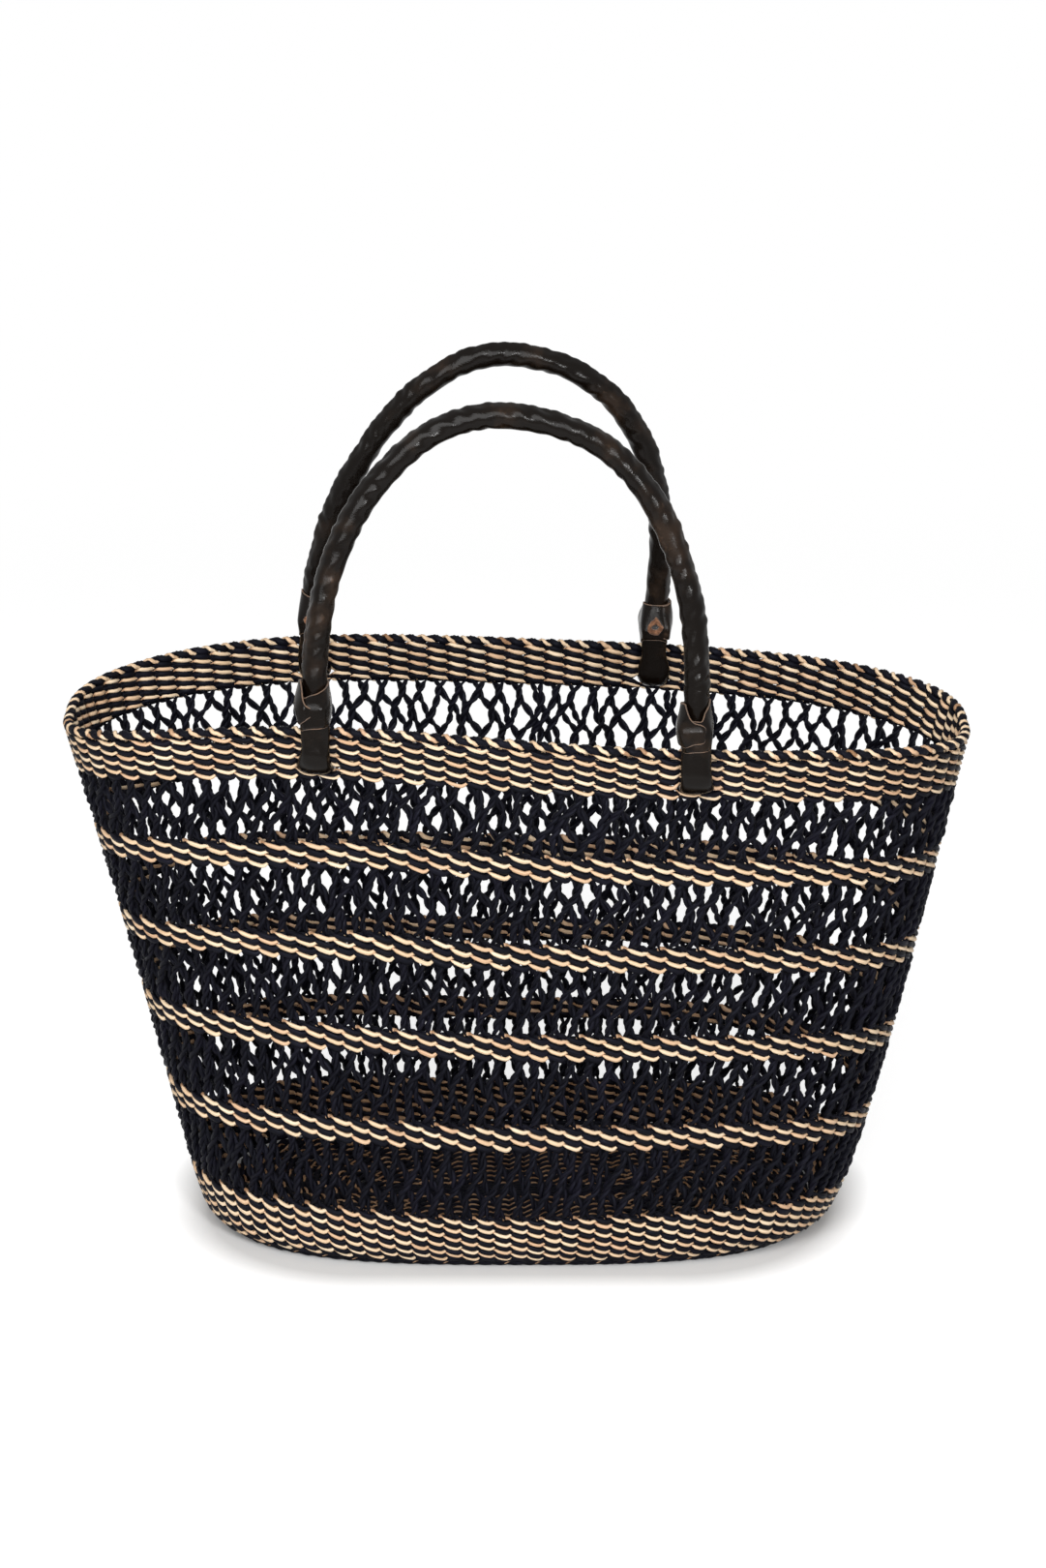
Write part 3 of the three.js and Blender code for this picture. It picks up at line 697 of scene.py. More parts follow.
def rope_fibre(colours):
    """Twisted plant fibre of the handle's core."""
    material, tree, shader = new_material("Rope fibre", colours.rope, 0.85, 0.2)
    fibre = use_group(tree, fibre_group(), (-700, 0), Along_Scale=120.0, Across_Scale=4.0, Seed=1.0)
    coloured = blend_colour(tree, fibre.outputs["Streak"], colours.rope_dark, colours.rope, (-400, 100))
    wire(tree, coloured, shader.inputs["Base Color"])
    add_bump(tree, shader, fibre.outputs["Height"], 0.7, 0.001)
    return material


FINISHES = {
    "Natural straw": natural_straw,
    "Dyed straw": dyed_straw,
    "Dark leather": dark_leather,
    "Raw leather edge": raw_edge,
    "Tan suede": tan_suede,
    "Rope fibre": rope_fibre,
}


def finish(name):
    """The named finish, made the first time it is asked for."""
    return bpy.data.materials.get(name) or FINISHES[name](bpy.context.scene.tote_colours)


def turn_from(turn, mark):
    """Distance of a turn from a mark, the short way round."""
    return np.abs((turn - mark + math.pi) % TAU - math.pi)


# Turns at which a stitch starts and ends, with 0 where it is outermost
STITCH_START, STITCH_END = -1.4, 2.05


def stitch_width(turn):
    """Share of a ply's width along a stitch: pointed at its start and blunt at its end.

    It is 1, less 0.72 at the start, which fades over 1.15 of turn after it, and less 0.4 within 0.3 of turn of the end.
    """
    past_start = (turn - STITCH_START + math.pi) % TAU - math.pi
    start = 1 - np.where(past_start > 0, past_start / 1.15, -past_start / 0.35)
    return 1 - 0.72 * smooth(start) - 0.4 * smooth(1 - turn_from(turn, STITCH_END) / 0.3)


def stitch_of(turn):
    """Number of the stitch that a turn lies in: one from start to end, outside, and one for the rest, inside."""
    lap = (turn - STITCH_START) / TAU
    return 2 * np.floor(lap).astype(int) + (lap % 1 > (STITCH_END - STITCH_START) / TAU)


def stitch_shade(turn):
    """Share of a stitch's own tint: its start lies in the shade of the stitch before."""
    return smooth((turn_from(turn, STITCH_START) - 0.1) / 0.5)


def each_stitch(rng, count, stitch):
    """A seeded number from 0 to 1 for each of the count stitches of every row, at every point of it."""
    return np.take_along_axis(rng.random((len(stitch), count)), stitch % count, axis=1)


def twined_rows(skins, levels, pitch, weave, seed, length, push=None, tuck_in=-0.45, scallop=0.5, curl=0.2):
    """Twined rows: two plies that twist round each other and round the stakes.

    A ply's turn is pi * (stakes * share - row), so it is outermost at every second stake. It stands reach * cos(late)
    outwards, where late is the turn held back by up to tail_lag at the stitch's tail, so the tail lies over the next
    stitch's start. It stands -rise * (sin(turn) - sin(3 * turn) / 9 + scallop * cos(turn)) upwards, nearly a straight
    line from the stitch's upper left to its lower right, where the stitches of the row below start, and its tail curls
    up. Behind the wall, the plies of the first and last row are drawn towards the others. Stitches are as much wider as
    the courses spread at the ends.
    """
    waviness, row_shift, tuck_down = 0.07, 0.37, 0.3
    tail_lag, tail, tail_reach = 0.75, 1.95, 0.8
    rng = np.random.default_rng(seed)
    steps = weave.stakes * weave.stitch_steps
    stitches = 2 * weave.stakes
    share = (np.arange(steps) / steps)[None]
    row = np.arange(len(levels))[:, None]
    base = levels[:, None] + waviness * pitch * uneven(rng, share + row * row_shift, 3, 17)
    squeeze = 1.0
    tuck = np.zeros((len(levels), 1))
    tuck[0], tuck[-1] = tuck_in, tuck_down
    if push is not None:
        base, squeeze = push(base, share)
    spread = WALL.end_rise(share, base + pitch) - WALL.end_rise(share, base - pitch)
    squeeze = squeeze * (1 + spread / (2 * pitch))
    for skin, phase, stitch_half in zip(skins, (0.0, math.pi), (weave.natural_width, weave.dyed_width)):
        turn = math.pi * (weave.stakes * share - row) + phase
        stitch = stitch_of(turn)
        tint = (0.2 + 0.8 * each_stitch(rng, stitches, stitch)) * stitch_shade(turn)
        # Inner stitches are darker low down, where little light gets into the basket
        tint = tint * np.where(stitch % 2, mix(0.1, 1, smooth(base / RIM_LOW)), 1)
        stout = 0.9 + 0.2 * each_stitch(rng, stitches, stitch)
        drift = 0.1 * (each_stitch(rng, stitches, stitch) - 0.5)
        rise = pitch * weave.stitch_slope * squeeze
        height = base - rise * (np.sin(turn) - np.sin(3 * turn) / 9 + scallop * np.cos(turn))
        height += drift * pitch * np.cos(turn) ** 2
        height += tuck * pitch * smooth((-0.05 - np.cos(turn)) / 0.8)
        height += curl * pitch * squeeze * smooth(1 - turn_from(turn, tail) / tail_reach)
        offset = weave.reach * np.cos(turn - tail_lag * np.sin(turn / 2 + math.pi / 4) ** 2)
        path, normal = WALL.place(share, height, offset)
        wide, thick = frame_along(path, normal, looped=True)
        half_wide = pitch * stitch_half * squeeze * stout * stitch_width(turn) * (1 + 0.3 * smooth(-np.cos(turn)))
        rings = tube(path, wide, thick, half_wide, weave.ply_thickness / 2, weave.ply_sides, squareness=2.3)
        skin.add(rings, looped=True, length=length, tint=tint)


def slot_push(level, share):
    """Moves rows apart round the four handle slots and squeezes them towards the band's edges.

    Near a slot, a row moves by half the gap at the slot and by nothing at the band's edge, and in proportion between.
    The move fades as 1 / (1 + (distance / half slot) ** 8).
    """
    moved, squeeze = level.copy(), np.ones_like(level)
    row_level = level.mean(axis=1, keepdims=True)
    half_gap, half_slot = 0.3 * LOOP_THICKNESS, 0.52 * LOOP_WIDTH
    above = row_level > SLOT_HEIGHT
    for foot in ALL_FEET:
        near = 1 / (1 + (foot.distance(share) / half_slot) ** 8)
        room = np.where(above, RIM_HIGH - SLOT_HEIGHT, SLOT_HEIGHT - RIM_LOW)
        reach = np.abs(row_level - SLOT_HEIGHT)
        moved += near * np.where(above, 1, -1) * half_gap * (1 - reach / room)
        squeeze -= near * half_gap / room
    return moved, squeeze


def count_property(name, description, default, low, high, step=1):
    """A whole number."""
    return bpy.props.IntProperty(name=name, description=description, default=default, min=low, max=high, step=step)


def length_property(name, description, default, precision=4):
    """A length in metres."""
    return bpy.props.FloatProperty(
        name=name, description=description, default=default, unit="LENGTH", precision=precision,
    )


def share_property(name, description, default, low=0.0):
    """A share, up to 1."""
    return bpy.props.FloatProperty(
        name=name, description=description, default=default, min=low, max=1, subtype="FACTOR",
    )


def light_property(name, description, default, unit="NONE"):
    """An amount of light."""
    return bpy.props.FloatProperty(name=name, description=description, default=default, min=0, unit=unit)


def colour_property(name, description, default):
    """A colour, as linear red, green and blue."""
    return bpy.props.FloatVectorProperty(
        name=name, description=description, default=default, size=3, min=0, max=1, subtype="COLOR",
    )


class WeaveSizes(bpy.types.PropertyGroup):
    """Sizes of the straw weave."""

    stakes: count_property("Stakes", "Upright stakes round the basket, an even number", 104, 20, 200, step=2)
    accent_rows: count_property("Accent rows", "Twined rows in an accent band", 4, 1, 12)
    base_rows: count_property("Base rows", "Twined rows in the base band", 10, 1, 24)
    rim_rows: count_property("Rim rows", "Twined rows in the rim band", 8, 1, 24)
    reach: length_property("Ply reach", "How far a ply stands out from the wall's middle", 1.7 * MM)
    ply_thickness: length_property("Ply thickness", "Thickness of a twined ply", 2.3 * MM)
    stitch_slope: share_property("Stitch slope", "Rise of a stitch as a share of the row pitch", 0.45)
    natural_width: share_property("Natural width", "Half width of a natural stitch, in row pitches", 0.355, 0.1)
    dyed_width: share_property("Dyed width", "Half width of a dyed stitch, in row pitches", 0.52, 0.1)
    stitch_steps: count_property("Steps per stitch", "Rings of points along one stitch", 8, 3, 16)
    ply_sides: count_property("Ply sides", "Points round a ply", 6, 4, 12)
    strand_radius: length_property("Strand ply radius", "Radius of one ply of an openwork strand", 1.22 * MM, 5)
    strand_twist: length_property("Strand twist", "Length of one full twist of an openwork strand", 13 * MM)
    strand_spread: bpy.props.FloatProperty(
        name="Strand spread", description="Stakes that a strand crosses over in one open course", default=1.5,
        min=0, max=4,
    )
    mat_pitch: length_property("Mat pitch", "Distance between the rows of the base mat", 3.3 * MM)
    mat_middle: length_property("Mat middle", "Distance from the mat's edge where its dyed middle starts", 85 * MM)
    mat_stitch: length_property("Mat stitch", "Length of a stitch of the base mat", 8.4 * MM)


class HandleSizes(bpy.types.PropertyGroup):
    """Surface sizes of the handles."""

    lay: length_property("Rope lay", "Length of one full turn of the rope's strands", 31 * MM)
    lay_depth: length_property("Lay depth", "How far the rope's strands show through the leather", 0.34 * MM, 5)
    seam_height: length_property("Seam height", "How far the sewn seam stands out", 0.9 * MM, 5)
    seam_stitch: length_property("Seam stitch", "Length of one stitch of the seam", 5.5 * MM)
    dents: length_property("Dents", "Depth of the leather's dents", 0.36 * MM, 5)
    wrap_leather: length_property("Wrap leather", "Thickness of the collar's leather", 1.1 * MM, 5)
    edge_width: length_property("Raw edge", "Width of the collar's raw edges", 0.62 * MM, 5)
    lozenge: length_property("Lozenge", "Diagonal of the suede strap end", 9.4 * MM)


class ToteColours(bpy.types.PropertyGroup):
    """Colours and gloss of the finishes."""

    straw_light: colour_property("Straw light", "Palest natural stitches", (0.86, 0.71, 0.53))
    straw_tan: colour_property("Straw tan", "Middle natural stitches", (0.80, 0.60, 0.41))
    straw_pink: colour_property("Straw pink", "Darkest natural stitches", (0.70, 0.47, 0.31))
    straw_shade: colour_property("Straw shade", "Where a stitch starts under another", (0.30, 0.165, 0.085))
    straw_gloss: share_property("Straw gloss", "Specular level of natural straw", 0.3)
    dyed_dark: colour_property("Dyed dark", "Dyed straw", (0.0022, 0.002, 0.0034))
    dyed_violet: colour_property("Dyed violet", "Dyed straw where it is paler", (0.0045, 0.004, 0.0075))
    dyed_gloss: share_property("Dyed gloss", "Specular level of the dyed fibres", 0.1)
    leather_dark: colour_property("Leather dark", "Polished leather", (0.0038, 0.0024, 0.0016))
    leather_worn: colour_property("Leather worn", "Leather where it is rubbed", (0.022, 0.013, 0.008))
    leather_scuff: colour_property("Leather scuff", "Scuffs inside rubbed patches", (0.085, 0.05, 0.032))
    leather_gloss: share_property("Leather gloss", "Specular level of the leather", 0.12)
    edge_tan: colour_property("Edge tan", "Raw edge of the leather", (0.20, 0.125, 0.085))
    edge_grey: colour_property("Edge grey", "Raw edge where it is soiled", (0.11, 0.085, 0.07))
    suede: colour_property("Suede", "Tan suede", (0.29, 0.145, 0.08))
    suede_dark: colour_property("Suede dark", "Tan suede where it is soiled", (0.11, 0.052, 0.03))
    rope: colour_property("Rope", "Plant fibre", (0.34, 0.25, 0.15))
    rope_dark: colour_property("Rope dark", "Plant fibre between its threads", (0.17, 0.12, 0.07))


class StageSettings(bpy.types.PropertyGroup):
    """Camera, floor and lamps."""

    camera_height: bpy.props.FloatProperty(
        name="Camera elevation", description="Camera angle above level", default=math.radians(18), subtype="ANGLE",
    )
    camera_distance: length_property("Camera distance", "Camera to its target", 2.005)
    lens: bpy.props.FloatProperty(
        name="Lens", description="Focal length for a 36 mm long side", default=84.38, unit="CAMERA",
    )
    target: bpy.props.FloatVectorProperty(
        name="Target", description="The point the camera looks at", default=(0.0033, 0.0, 0.2452), size=3,
        subtype="XYZ", unit="LENGTH",
    )
    ambient: light_property("Ambient", "World light on the object", 0.22)
    key_power: light_property("Key power", "Power of the small softbox", 19.0, "POWER")
    fill_power: light_property("Fill power", "Power of the wide lamp", 46.0, "POWER")
    floor_lift: light_property("Floor lift", "Light added to the floor for the camera", 0.7)
    contact_lift: light_property("Contact lift", "The same at the basket's foot", 0.02)


def view_factor(tree, place):
    """1 for camera, glossy and transmission rays, and 0 for the rays that light the object."""
    path = add_node(tree, "ShaderNodeLightPath", place)
    total = path.outputs["Is Camera Ray"]
    for label in ("Is Glossy Ray", "Is Transmission Ray"):
        total = calculate(tree, "MAXIMUM", total, path.outputs[label], place=(place[0] + 200, place[1]))
    return total


class TOTE_OT_stage(bpy.types.Operator):
    """Makes the camera, the pale floor, the white surroundings and the lamps"""

    bl_idname = "tote.stage"
    bl_label = "Stage"

    def execute(self, context):
        scene = context.scene
        stage = scene.tote_stage
        self.surroundings(scene, stage)
        self.floor(scene, stage)
        self.lamps(scene, stage)
        camera = bpy.data.objects.new("camera", bpy.data.cameras.new("camera"))
        camera.data.sensor_width = 36
        camera.data.lens = stage.lens
        camera.data.clip_end = 20
        above = stage.camera_height
        away = np.array([0, -math.cos(above), math.sin(above)])
        camera.location = np.array(stage.target) + stage.camera_distance * away
        camera.rotation_euler = (math.pi / 2 - above, 0, 0)
        scene.collection.objects.link(camera)
        scene.camera = camera
        scene.view_settings.view_transform = "Standard"
        return {"FINISHED"}

    def surroundings(self, scene, stage):
        """White where it is seen or reflected, and a plain soft light on the object."""
        world = bpy.data.worlds.new("surroundings")
        world.use_nodes = True
        scene.world = world
        tree = world.node_tree
        background = tree.nodes["Background"]
        background.inputs["Color"].default_value = (1, 1, 1, 1)
        strength = range_of(tree, view_factor(tree, (-800, 0)), stage.ambient, 1.0, (-200, 0))
        wire(tree, strength, background.inputs["Strength"])

    def floor(self, scene, stage):
        """A white disc, which takes the object's shadow and fades into the surroundings far out. Round the basket's
        foot its glow is held back, a partly painted shadow: a darker ring over the real contact shadow.
        """
        mesh = bpy.data.meshes.new("floor")
        radius, corners = 6.0, 96
        angle = np.arange(corners) / corners * TAU
        points = np.stack([radius * np.cos(angle), radius * np.sin(angle), np.zeros(corners)], -1)
        mesh.from_pydata(points.tolist(), [], [list(range(corners))])
        floor = bpy.data.objects.new("floor", mesh)
        scene.collection.objects.link(floor)
        material, tree, shader = new_material("Pale floor", (0.7, 0.7, 0.7), 0.9, 0.05)
        shader.inputs["Emission Color"].default_value = (1, 1, 1, 1)
        seen = view_factor(tree, (-1100, -300))
        where = add_node(tree, "ShaderNodeTexCoord", (-1100, 300))
        edge = self.contact_shadow_mask(tree, where.outputs["Object"])
        # Partly painted shadow: the glow that whitens the floor drops to the contact lift round the foot, so the real
        # shadow shows there as a darker ring
        lift = range_of(tree, edge, stage.contact_lift, stage.floor_lift, (-600, -400))
        wire(tree, calculate(tree, "MULTIPLY", seen, lift, place=(-400, -300)), shader.inputs["Emission Strength"])
        away = calculate(tree, "LENGTH", where.outputs["Object"], place=(-900, 300), kind="ShaderNodeVectorMath")
        fade = add_node(
            tree, "ShaderNodeMapRange", (-700, 300), interpolation_type="SMOOTHSTEP", From_Min=0.7, From_Max=1.8,
        )
        wire(tree, away, fade.inputs["Value"])
        faded = calculate(tree, "MULTIPLY", fade.outputs["Result"], seen, place=(-400, 200))
        white = add_node(tree, "ShaderNodeEmission", (-100, 300))
        mixed = add_node(tree, "ShaderNodeMixShader", (200, 200))
        wire(tree, faded, mixed.inputs["Fac"])
        wire(tree, shader.outputs[0], mixed.inputs[1])
        wire(tree, white.outputs[0], mixed.inputs[2])
        wire(tree, mixed.outputs[0], tree.nodes["Material Output"].inputs["Surface"])
        mesh.materials.append(material)

    def contact_shadow_mask(self, tree, where):
        """0 under the basket and 1 further out: the distance from a plan with round corners, of this radius. It shapes
        the partly painted contact shadow round the foot.
        """
        radius, fade_start, fade_end = 85 * MM, 3 * MM, 32 * MM
        value = where
        for column, operation, other in (
            (-1700, "ABSOLUTE", ()),
            (-1500, "SUBTRACT", ((FOOT_LENGTH / 2 - radius, FOOT_DEPTH / 2 - radius, 0),)),
            (-1300, "MAXIMUM", ()),
            (-1100, "LENGTH", ()),
        ):
            value = calculate(tree, operation, value, *other, place=(column, -500), kind="ShaderNodeVectorMath")
        edge = add_node(
            tree, "ShaderNodeMapRange", (-900, -500), From_Min=radius + fade_start, From_Max=radius + fade_end,
        )
        wire(tree, value, edge.inputs["Value"])
        return edge.outputs["Result"]

    def lamps(self, scene, stage):
        """A small softbox on the right of the camera, and a wide soft lamp on its left and above it.

        Each lamp has its degrees to the right of the front and above level, its distance and its side in metres.
        """
        middle = np.array([0, 0, 0.2])
        for name, azimuth, elevation, distance, size, power_level in (
            ("key_lamp", 14, 24, 2.1, 0.32, stage.key_power),
            ("fill_lamp", -16, 33, 2.2, 1.5, stage.fill_power),
        ):
            lamp = bpy.data.lights.new(name, "AREA")
            lamp.shape, lamp.size, lamp.energy = "SQUARE", size, power_level
            a, e = math.radians(azimuth), math.radians(elevation)
            away = np.array([math.sin(a) * math.cos(e), -math.cos(a) * math.cos(e), math.sin(e)])
            thing = bpy.data.objects.new(name, lamp)
            thing.location = middle + away * distance
            thing.rotation_euler = (math.pi / 2 - e, 0, a)
            scene.collection.objects.link(thing)


class TOTE_OT_base_mat(bpy.types.Operator):
    """Weaves the oval mat that the basket stands on, as rings of twined rows"""

    bl_idname = "tote.base_mat"
    bl_label = "Base mat"

    def execute(self, context):
        weave = context.scene.tote_weave
        rng = np.random.default_rng(11)
        a, b, n = (float(value) for value in plan(MAT_THICKNESS / 2))
        natural, dyed = Skin(), Skin()
        # How far a ply stands out, its half width as a share of the pitch, and its half thickness
        thin, fat = (1.65 * MM, 0.24, 0.4 * MM), (1.2 * MM, 0.6, 1.25 * MM)
        outset, swing = 0.5 * MM, 0.36
        # Rings start at the middle of the front, and their stitches come in fours, so the stitches of all rows line up
        turn = np.linspace(-math.pi / 2, 1.5 * math.pi, 1441)
        rows = int((b + outset) / weave.mat_pitch) + 1
        for row in range(rows):
            inset = row * weave.mat_pitch - outset
            x = (a - inset) * power(np.cos(turn), 2 / n)
            y = max(b - inset, 0.3 * MM) * power(np.sin(turn), 2 / n)
            length = np.concatenate([[0], np.cumsum(np.hypot(np.diff(x), np.diff(y)))])
            stitches = 4 * max(int(round(length[-1] / weave.mat_stitch / 4)), 2)
            steps = 4 * stitches
            share = np.arange(steps) / steps
            where = share * length[-1]
            oval = np.stack([np.interp(where, length, x), np.interp(where, length, y)], -1)
            ahead = unit(np.roll(oval, -1, axis=0) - np.roll(oval, 1, axis=0))
            outward = np.stack([ahead[:, 1], -ahead[:, 0]], -1)
            plain = inset > weave.mat_middle
            for skin, phase in ((dyed if plain else natural, 0.0), (dyed, math.pi)):
                reach, width, half_thick = thin if skin is natural else fat
                angle = math.pi * (stitches * share - row) + phase
                aside = -swing * weave.mat_pitch * np.sin(angle)
                path = np.zeros((1, steps, 3))
                path[0, :, :2] = oval + outward * aside[:, None]
                path[0, :, 2] = MAT_THICKNESS / 2 + reach * np.cos(angle)
                wide, thick = frame_along(path, np.array([0.0, 0.0, 1.0]), looped=True)
                half_wide = width * weave.mat_pitch * stitch_width(angle)[None]
                # Painted shade: the mat's natural stitches take only the darkest tints, since the inside of the basket
                # gets little light
                tint = 0.12 * rng.random(stitches * 2)[stitch_of(angle) % (stitches * 2)]
                rings = tube(path, wide, thick, half_wide, half_thick, 5)
                skin.add(rings, looped=True, length=float(length[-1]), tint=tint[None])
        dress(natural.build("mat_natural", [finish("Natural straw")]), "basket", "natural_straw", "base_mat")
        dress(dyed.build("mat_dyed", [finish("Dyed straw")]), "basket", "dyed_straw", "base_mat")
        return {"FINISHED"}


class TOTE_OT_twined_bands(bpy.types.Operator):
    """Weaves the base band, the accent bands and the rim band, each with a natural and a dyed ply in every row"""

    bl_idname = "tote.twined_bands"
    bl_label = "Twined bands"

    def execute(self, context):
        weave = context.scene.tote_weave
        rows_in = {"base_band": weave.base_rows, "rim_band": weave.rim_rows}
        # Accent bands have flatter stitches than the other two
        flat = {"scallop": 0.25, "curl": 0.12}
        shapes = {"base_band": {}, "rim_band": {"push": slot_push, "tuck_in": 0.0}}
        for seed, (node, (low, high)) in enumerate(COURSES.items(), 100):
            if node.startswith("openwork"):
                continue
            rows = rows_in.get(node, weave.accent_rows)
            if node == "rim_band":
                high += BORDER_OVERLAP
            pitch = (high - low) / rows
            levels = high - (np.arange(rows) + 0.5) * pitch
            natural, dyed = Skin(), Skin()
            shape = shapes.get(node, flat)
            twined_rows((natural, dyed), levels, pitch, weave, seed, WALL.round_length(high), **shape)
            if node == "base_band":
                self.bottom_edge(dyed, weave)
            self.stakes(dyed, low, high, weave)
            dress(natural.build(f"{node}_natural", [finish("Natural straw")]), "basket", "natural_straw", node)
            dress(dyed.build(f"{node}_dyed", [finish("Dyed straw")]), "basket", "dyed_straw", node)
        return {"FINISHED"}

    def stakes(self, skin, low, high, weave):
        """Flat upright stakes inside the rows, two side by side for each stitch."""
        count = 2 * weave.stakes
        share = (np.arange(count) / count)[:, None]
        height = np.linspace(low, high, 5)[None]
        if low == RIM_LOW:
            clear = np.ones(count, bool)
            for foot in ALL_FEET:
                clear &= foot.distance(share[:, 0]) > 0.6 * LOOP_WIDTH
            share = share[clear]
        path, normal = WALL.place(share, height)
        wide, thick = frame_along(path, normal)
        half_wide, half_thick = 0.46 * WALL.round_length(low) / count, 0.45 * MM
        skin.add(tube(path, wide, thick, half_wide, half_thick, 4), length=high - low, tint=0.3)

    def bottom_edge(self, skin, weave):
        """Two smooth dyed cords, one over the other, where the wall turns into the mat."""
        steps = 8 * weave.stakes
        share = (np.arange(steps) / steps)[None]
        for height, outset, radius in ((5.2 * MM, 0.8 * MM, 1.3 * MM), (2.3 * MM, 1.7 * MM, 2.0 * MM)):
            path, normal = WALL.place(share, height, outset)
            wide, thick = frame_along(path, normal, looped=True)
            swollen = radius * (1 + 0.1 * np.sin(TAU * weave.stakes * share + height / MM))
            skin.add(tube(path, wide, thick, swollen, swollen, 8), looped=True, length=1.0, tint=0.2)


class TOTE_OT_openwork(bpy.types.Operator):
    """Crosses the twisted dark strands of the five open courses"""

    bl_idname = "tote.openwork"
    bl_label = "Openwork"

    def execute(self, context):
        weave = context.scene.tote_weave
        for seed, (node, (low, high)) in enumerate(COURSES.items(), 200):
            if node.startswith("openwork"):
                skin = Skin()
                for lean in (1, -1):
                    self.strands(skin, low, high, lean, weave, np.random.default_rng(seed * 2 + lean))
                dress(skin.build(f"{node}_strands", [finish("Dyed straw")]), "basket", "dyed_straw", node)
        return {"FINISHED"}

    def strands(self, skin, low, high, lean, weave, rng):
        """One family of strands, which rise to the right (lean 1, in front) or to the left (lean -1, behind).

        A strand goes from stake i at the bottom to i + lean * spread at the top, wandering a little, and its two plies
        wind round that line. Both ends flatten and slip between the plies of the bands.
        """
        count, steps = weave.stakes, 27
        rise = np.linspace(-0.05, 1.05, steps)[None]
        start = np.arange(count)[:, None] + 0.5 * (1 - lean * weave.strand_spread)
        sway = np.sin(math.pi * np.clip(rise, 0, 1))
        wander = 0.2 * sway * np.sin(TAU * (rise * rng.uniform(0.5, 1.4, (count, 1)) + rng.random((count, 1))))
        bow = 0.17 * sway * rng.normal(0, 1, (count, 1))
        # Strands cross at a sixth, a half and five sixths of the course, and run more upright there
        lurch = np.sin(6 * math.pi * (rise - 1 / 6)) / (6 * math.pi)
        stake = start + lean * weave.strand_spread * (rise - 0.6 * lurch) + wander + bow
        free = smooth(np.minimum(rise + 0.03, 1.03 - rise) / 0.12)
        offset = free * lean * (0.95 + 0.25 * np.sin(TAU * rise * 1.5 + rng.random((count, 1)) * TAU)) * MM
        path, normal = WALL.place(stake / weave.stakes, low + (high - low) * rise, offset)
        wide, thick = frame_along(path, normal)
        twists = rise * (high - low) / weave.strand_twist
        twist = TAU * (twists * rng.uniform(0.8, 1.25, (count, 1)) + rng.random((count, 1)))
        radius = weave.strand_radius * rng.uniform(0.82, 1.16, (count, 1)) * (0.45 + 0.55 * free)
        orbit = (0.78 * weave.strand_radius * (0.3 + 0.7 * free))[..., None]
        for ply in range(2):
            angle = (twist + ply * math.pi)[..., None]
            core = path + orbit * (wide * np.cos(angle) + thick * np.sin(angle))
            ply_wide, ply_thick = frame_along(core, normal)
            rings = tube(core, ply_wide, ply_thick, radius, radius, 5)
            skin.add(rings, length=high - low, tint=rng.random((count, 1)))


class TOTE_OT_rim_border(bpy.types.Operator):
    """Wraps the rim: a thin natural strand and a fat dyed one wind round a dark core, once for each stake"""

    bl_idname = "tote.rim_border"
    bl_label = "Rim border"

    def execute(self, context):
        weave = context.scene.tote_weave
        rng = np.random.default_rng(31)
        steps = weave.stakes * 12
        share = (np.arange(steps) / steps)[None]
        natural, dyed = Skin(), Skin()
        core, normal = WALL.place(share, BORDER_HEIGHT + BORDER_OVERLAP / 2)
        wide, thick = frame_along(core, normal, looped=True)
        core_radius = 1.4 * MM
        dyed.add(tube(core, wide, thick, core_radius, core_radius, 6), looped=True, length=1.15, tint=0.3)
        turn = TAU * weave.stakes * share + 0.5 * uneven(rng, share, 5, 40)
        for skin, phase, orbit, half_wide, half_thick in (
            (natural, 0.0, 2.1 * MM, 1.15 * MM, 0.8 * MM),
            (dyed, math.pi, 1.5 * MM, 2.0 * MM, 1.45 * MM),
        ):
            # Slow across the front and the back and quick over the top, so the strokes that show lie flatter
            angle = turn + phase - 0.2 * np.sin(turn + phase) - 0.3 * np.sin(2 * (turn + phase))
            number = np.floor(angle / TAU).astype(int) % weave.stakes
            stout = 0.86 + 0.28 * rng.random(weave.stakes)[number]
            stout = (np.roll(stout, 2, axis=1) + stout + np.roll(stout, -2, axis=1)) / 3
            # The natural strand slips under the dyed one on the inner side, below the top
            slip = smooth(-np.cos(angle)) * smooth(0.6 + np.sin(angle)) if skin is natural else 0
            orbit = orbit * (1 - 0.5 * slip)
            out = (orbit * np.cos(angle))[..., None] * normal
            up = (orbit * -np.sin(angle))[..., None] * np.array([0.0, 0.0, 1.0])
            path = core + out + up
            radial = unit(path - core)
            across, away = frame_along(path, radial, looped=True)
            rings = tube(path, across, away, half_wide * stout, half_thick, 7)
            skin.add(rings, looped=True, length=2.6, tint=rng.random(weave.stakes)[number])
        dress(natural.build("border_natural", [finish("Natural straw")]), "basket", "natural_straw", "rim_border")
        dress(dyed.build("border_dyed", [finish("Dyed straw")]), "basket", "dyed_straw", "rim_border")
        return {"FINISHED"}


def lean_at(side, rise):
    """How far a handle leans to the right at a rise above its feet: a quarter sine that starts inside the collars."""
    arch = ARCHES[side]
    start = arch.collar_rise + COLLAR_HEIGHT * COLLAR_SHOULDER
    climbed = np.maximum(rise - start, 0) / (arch.top - start)
    return arch.lean * np.sin(math.pi / 2 * climbed)


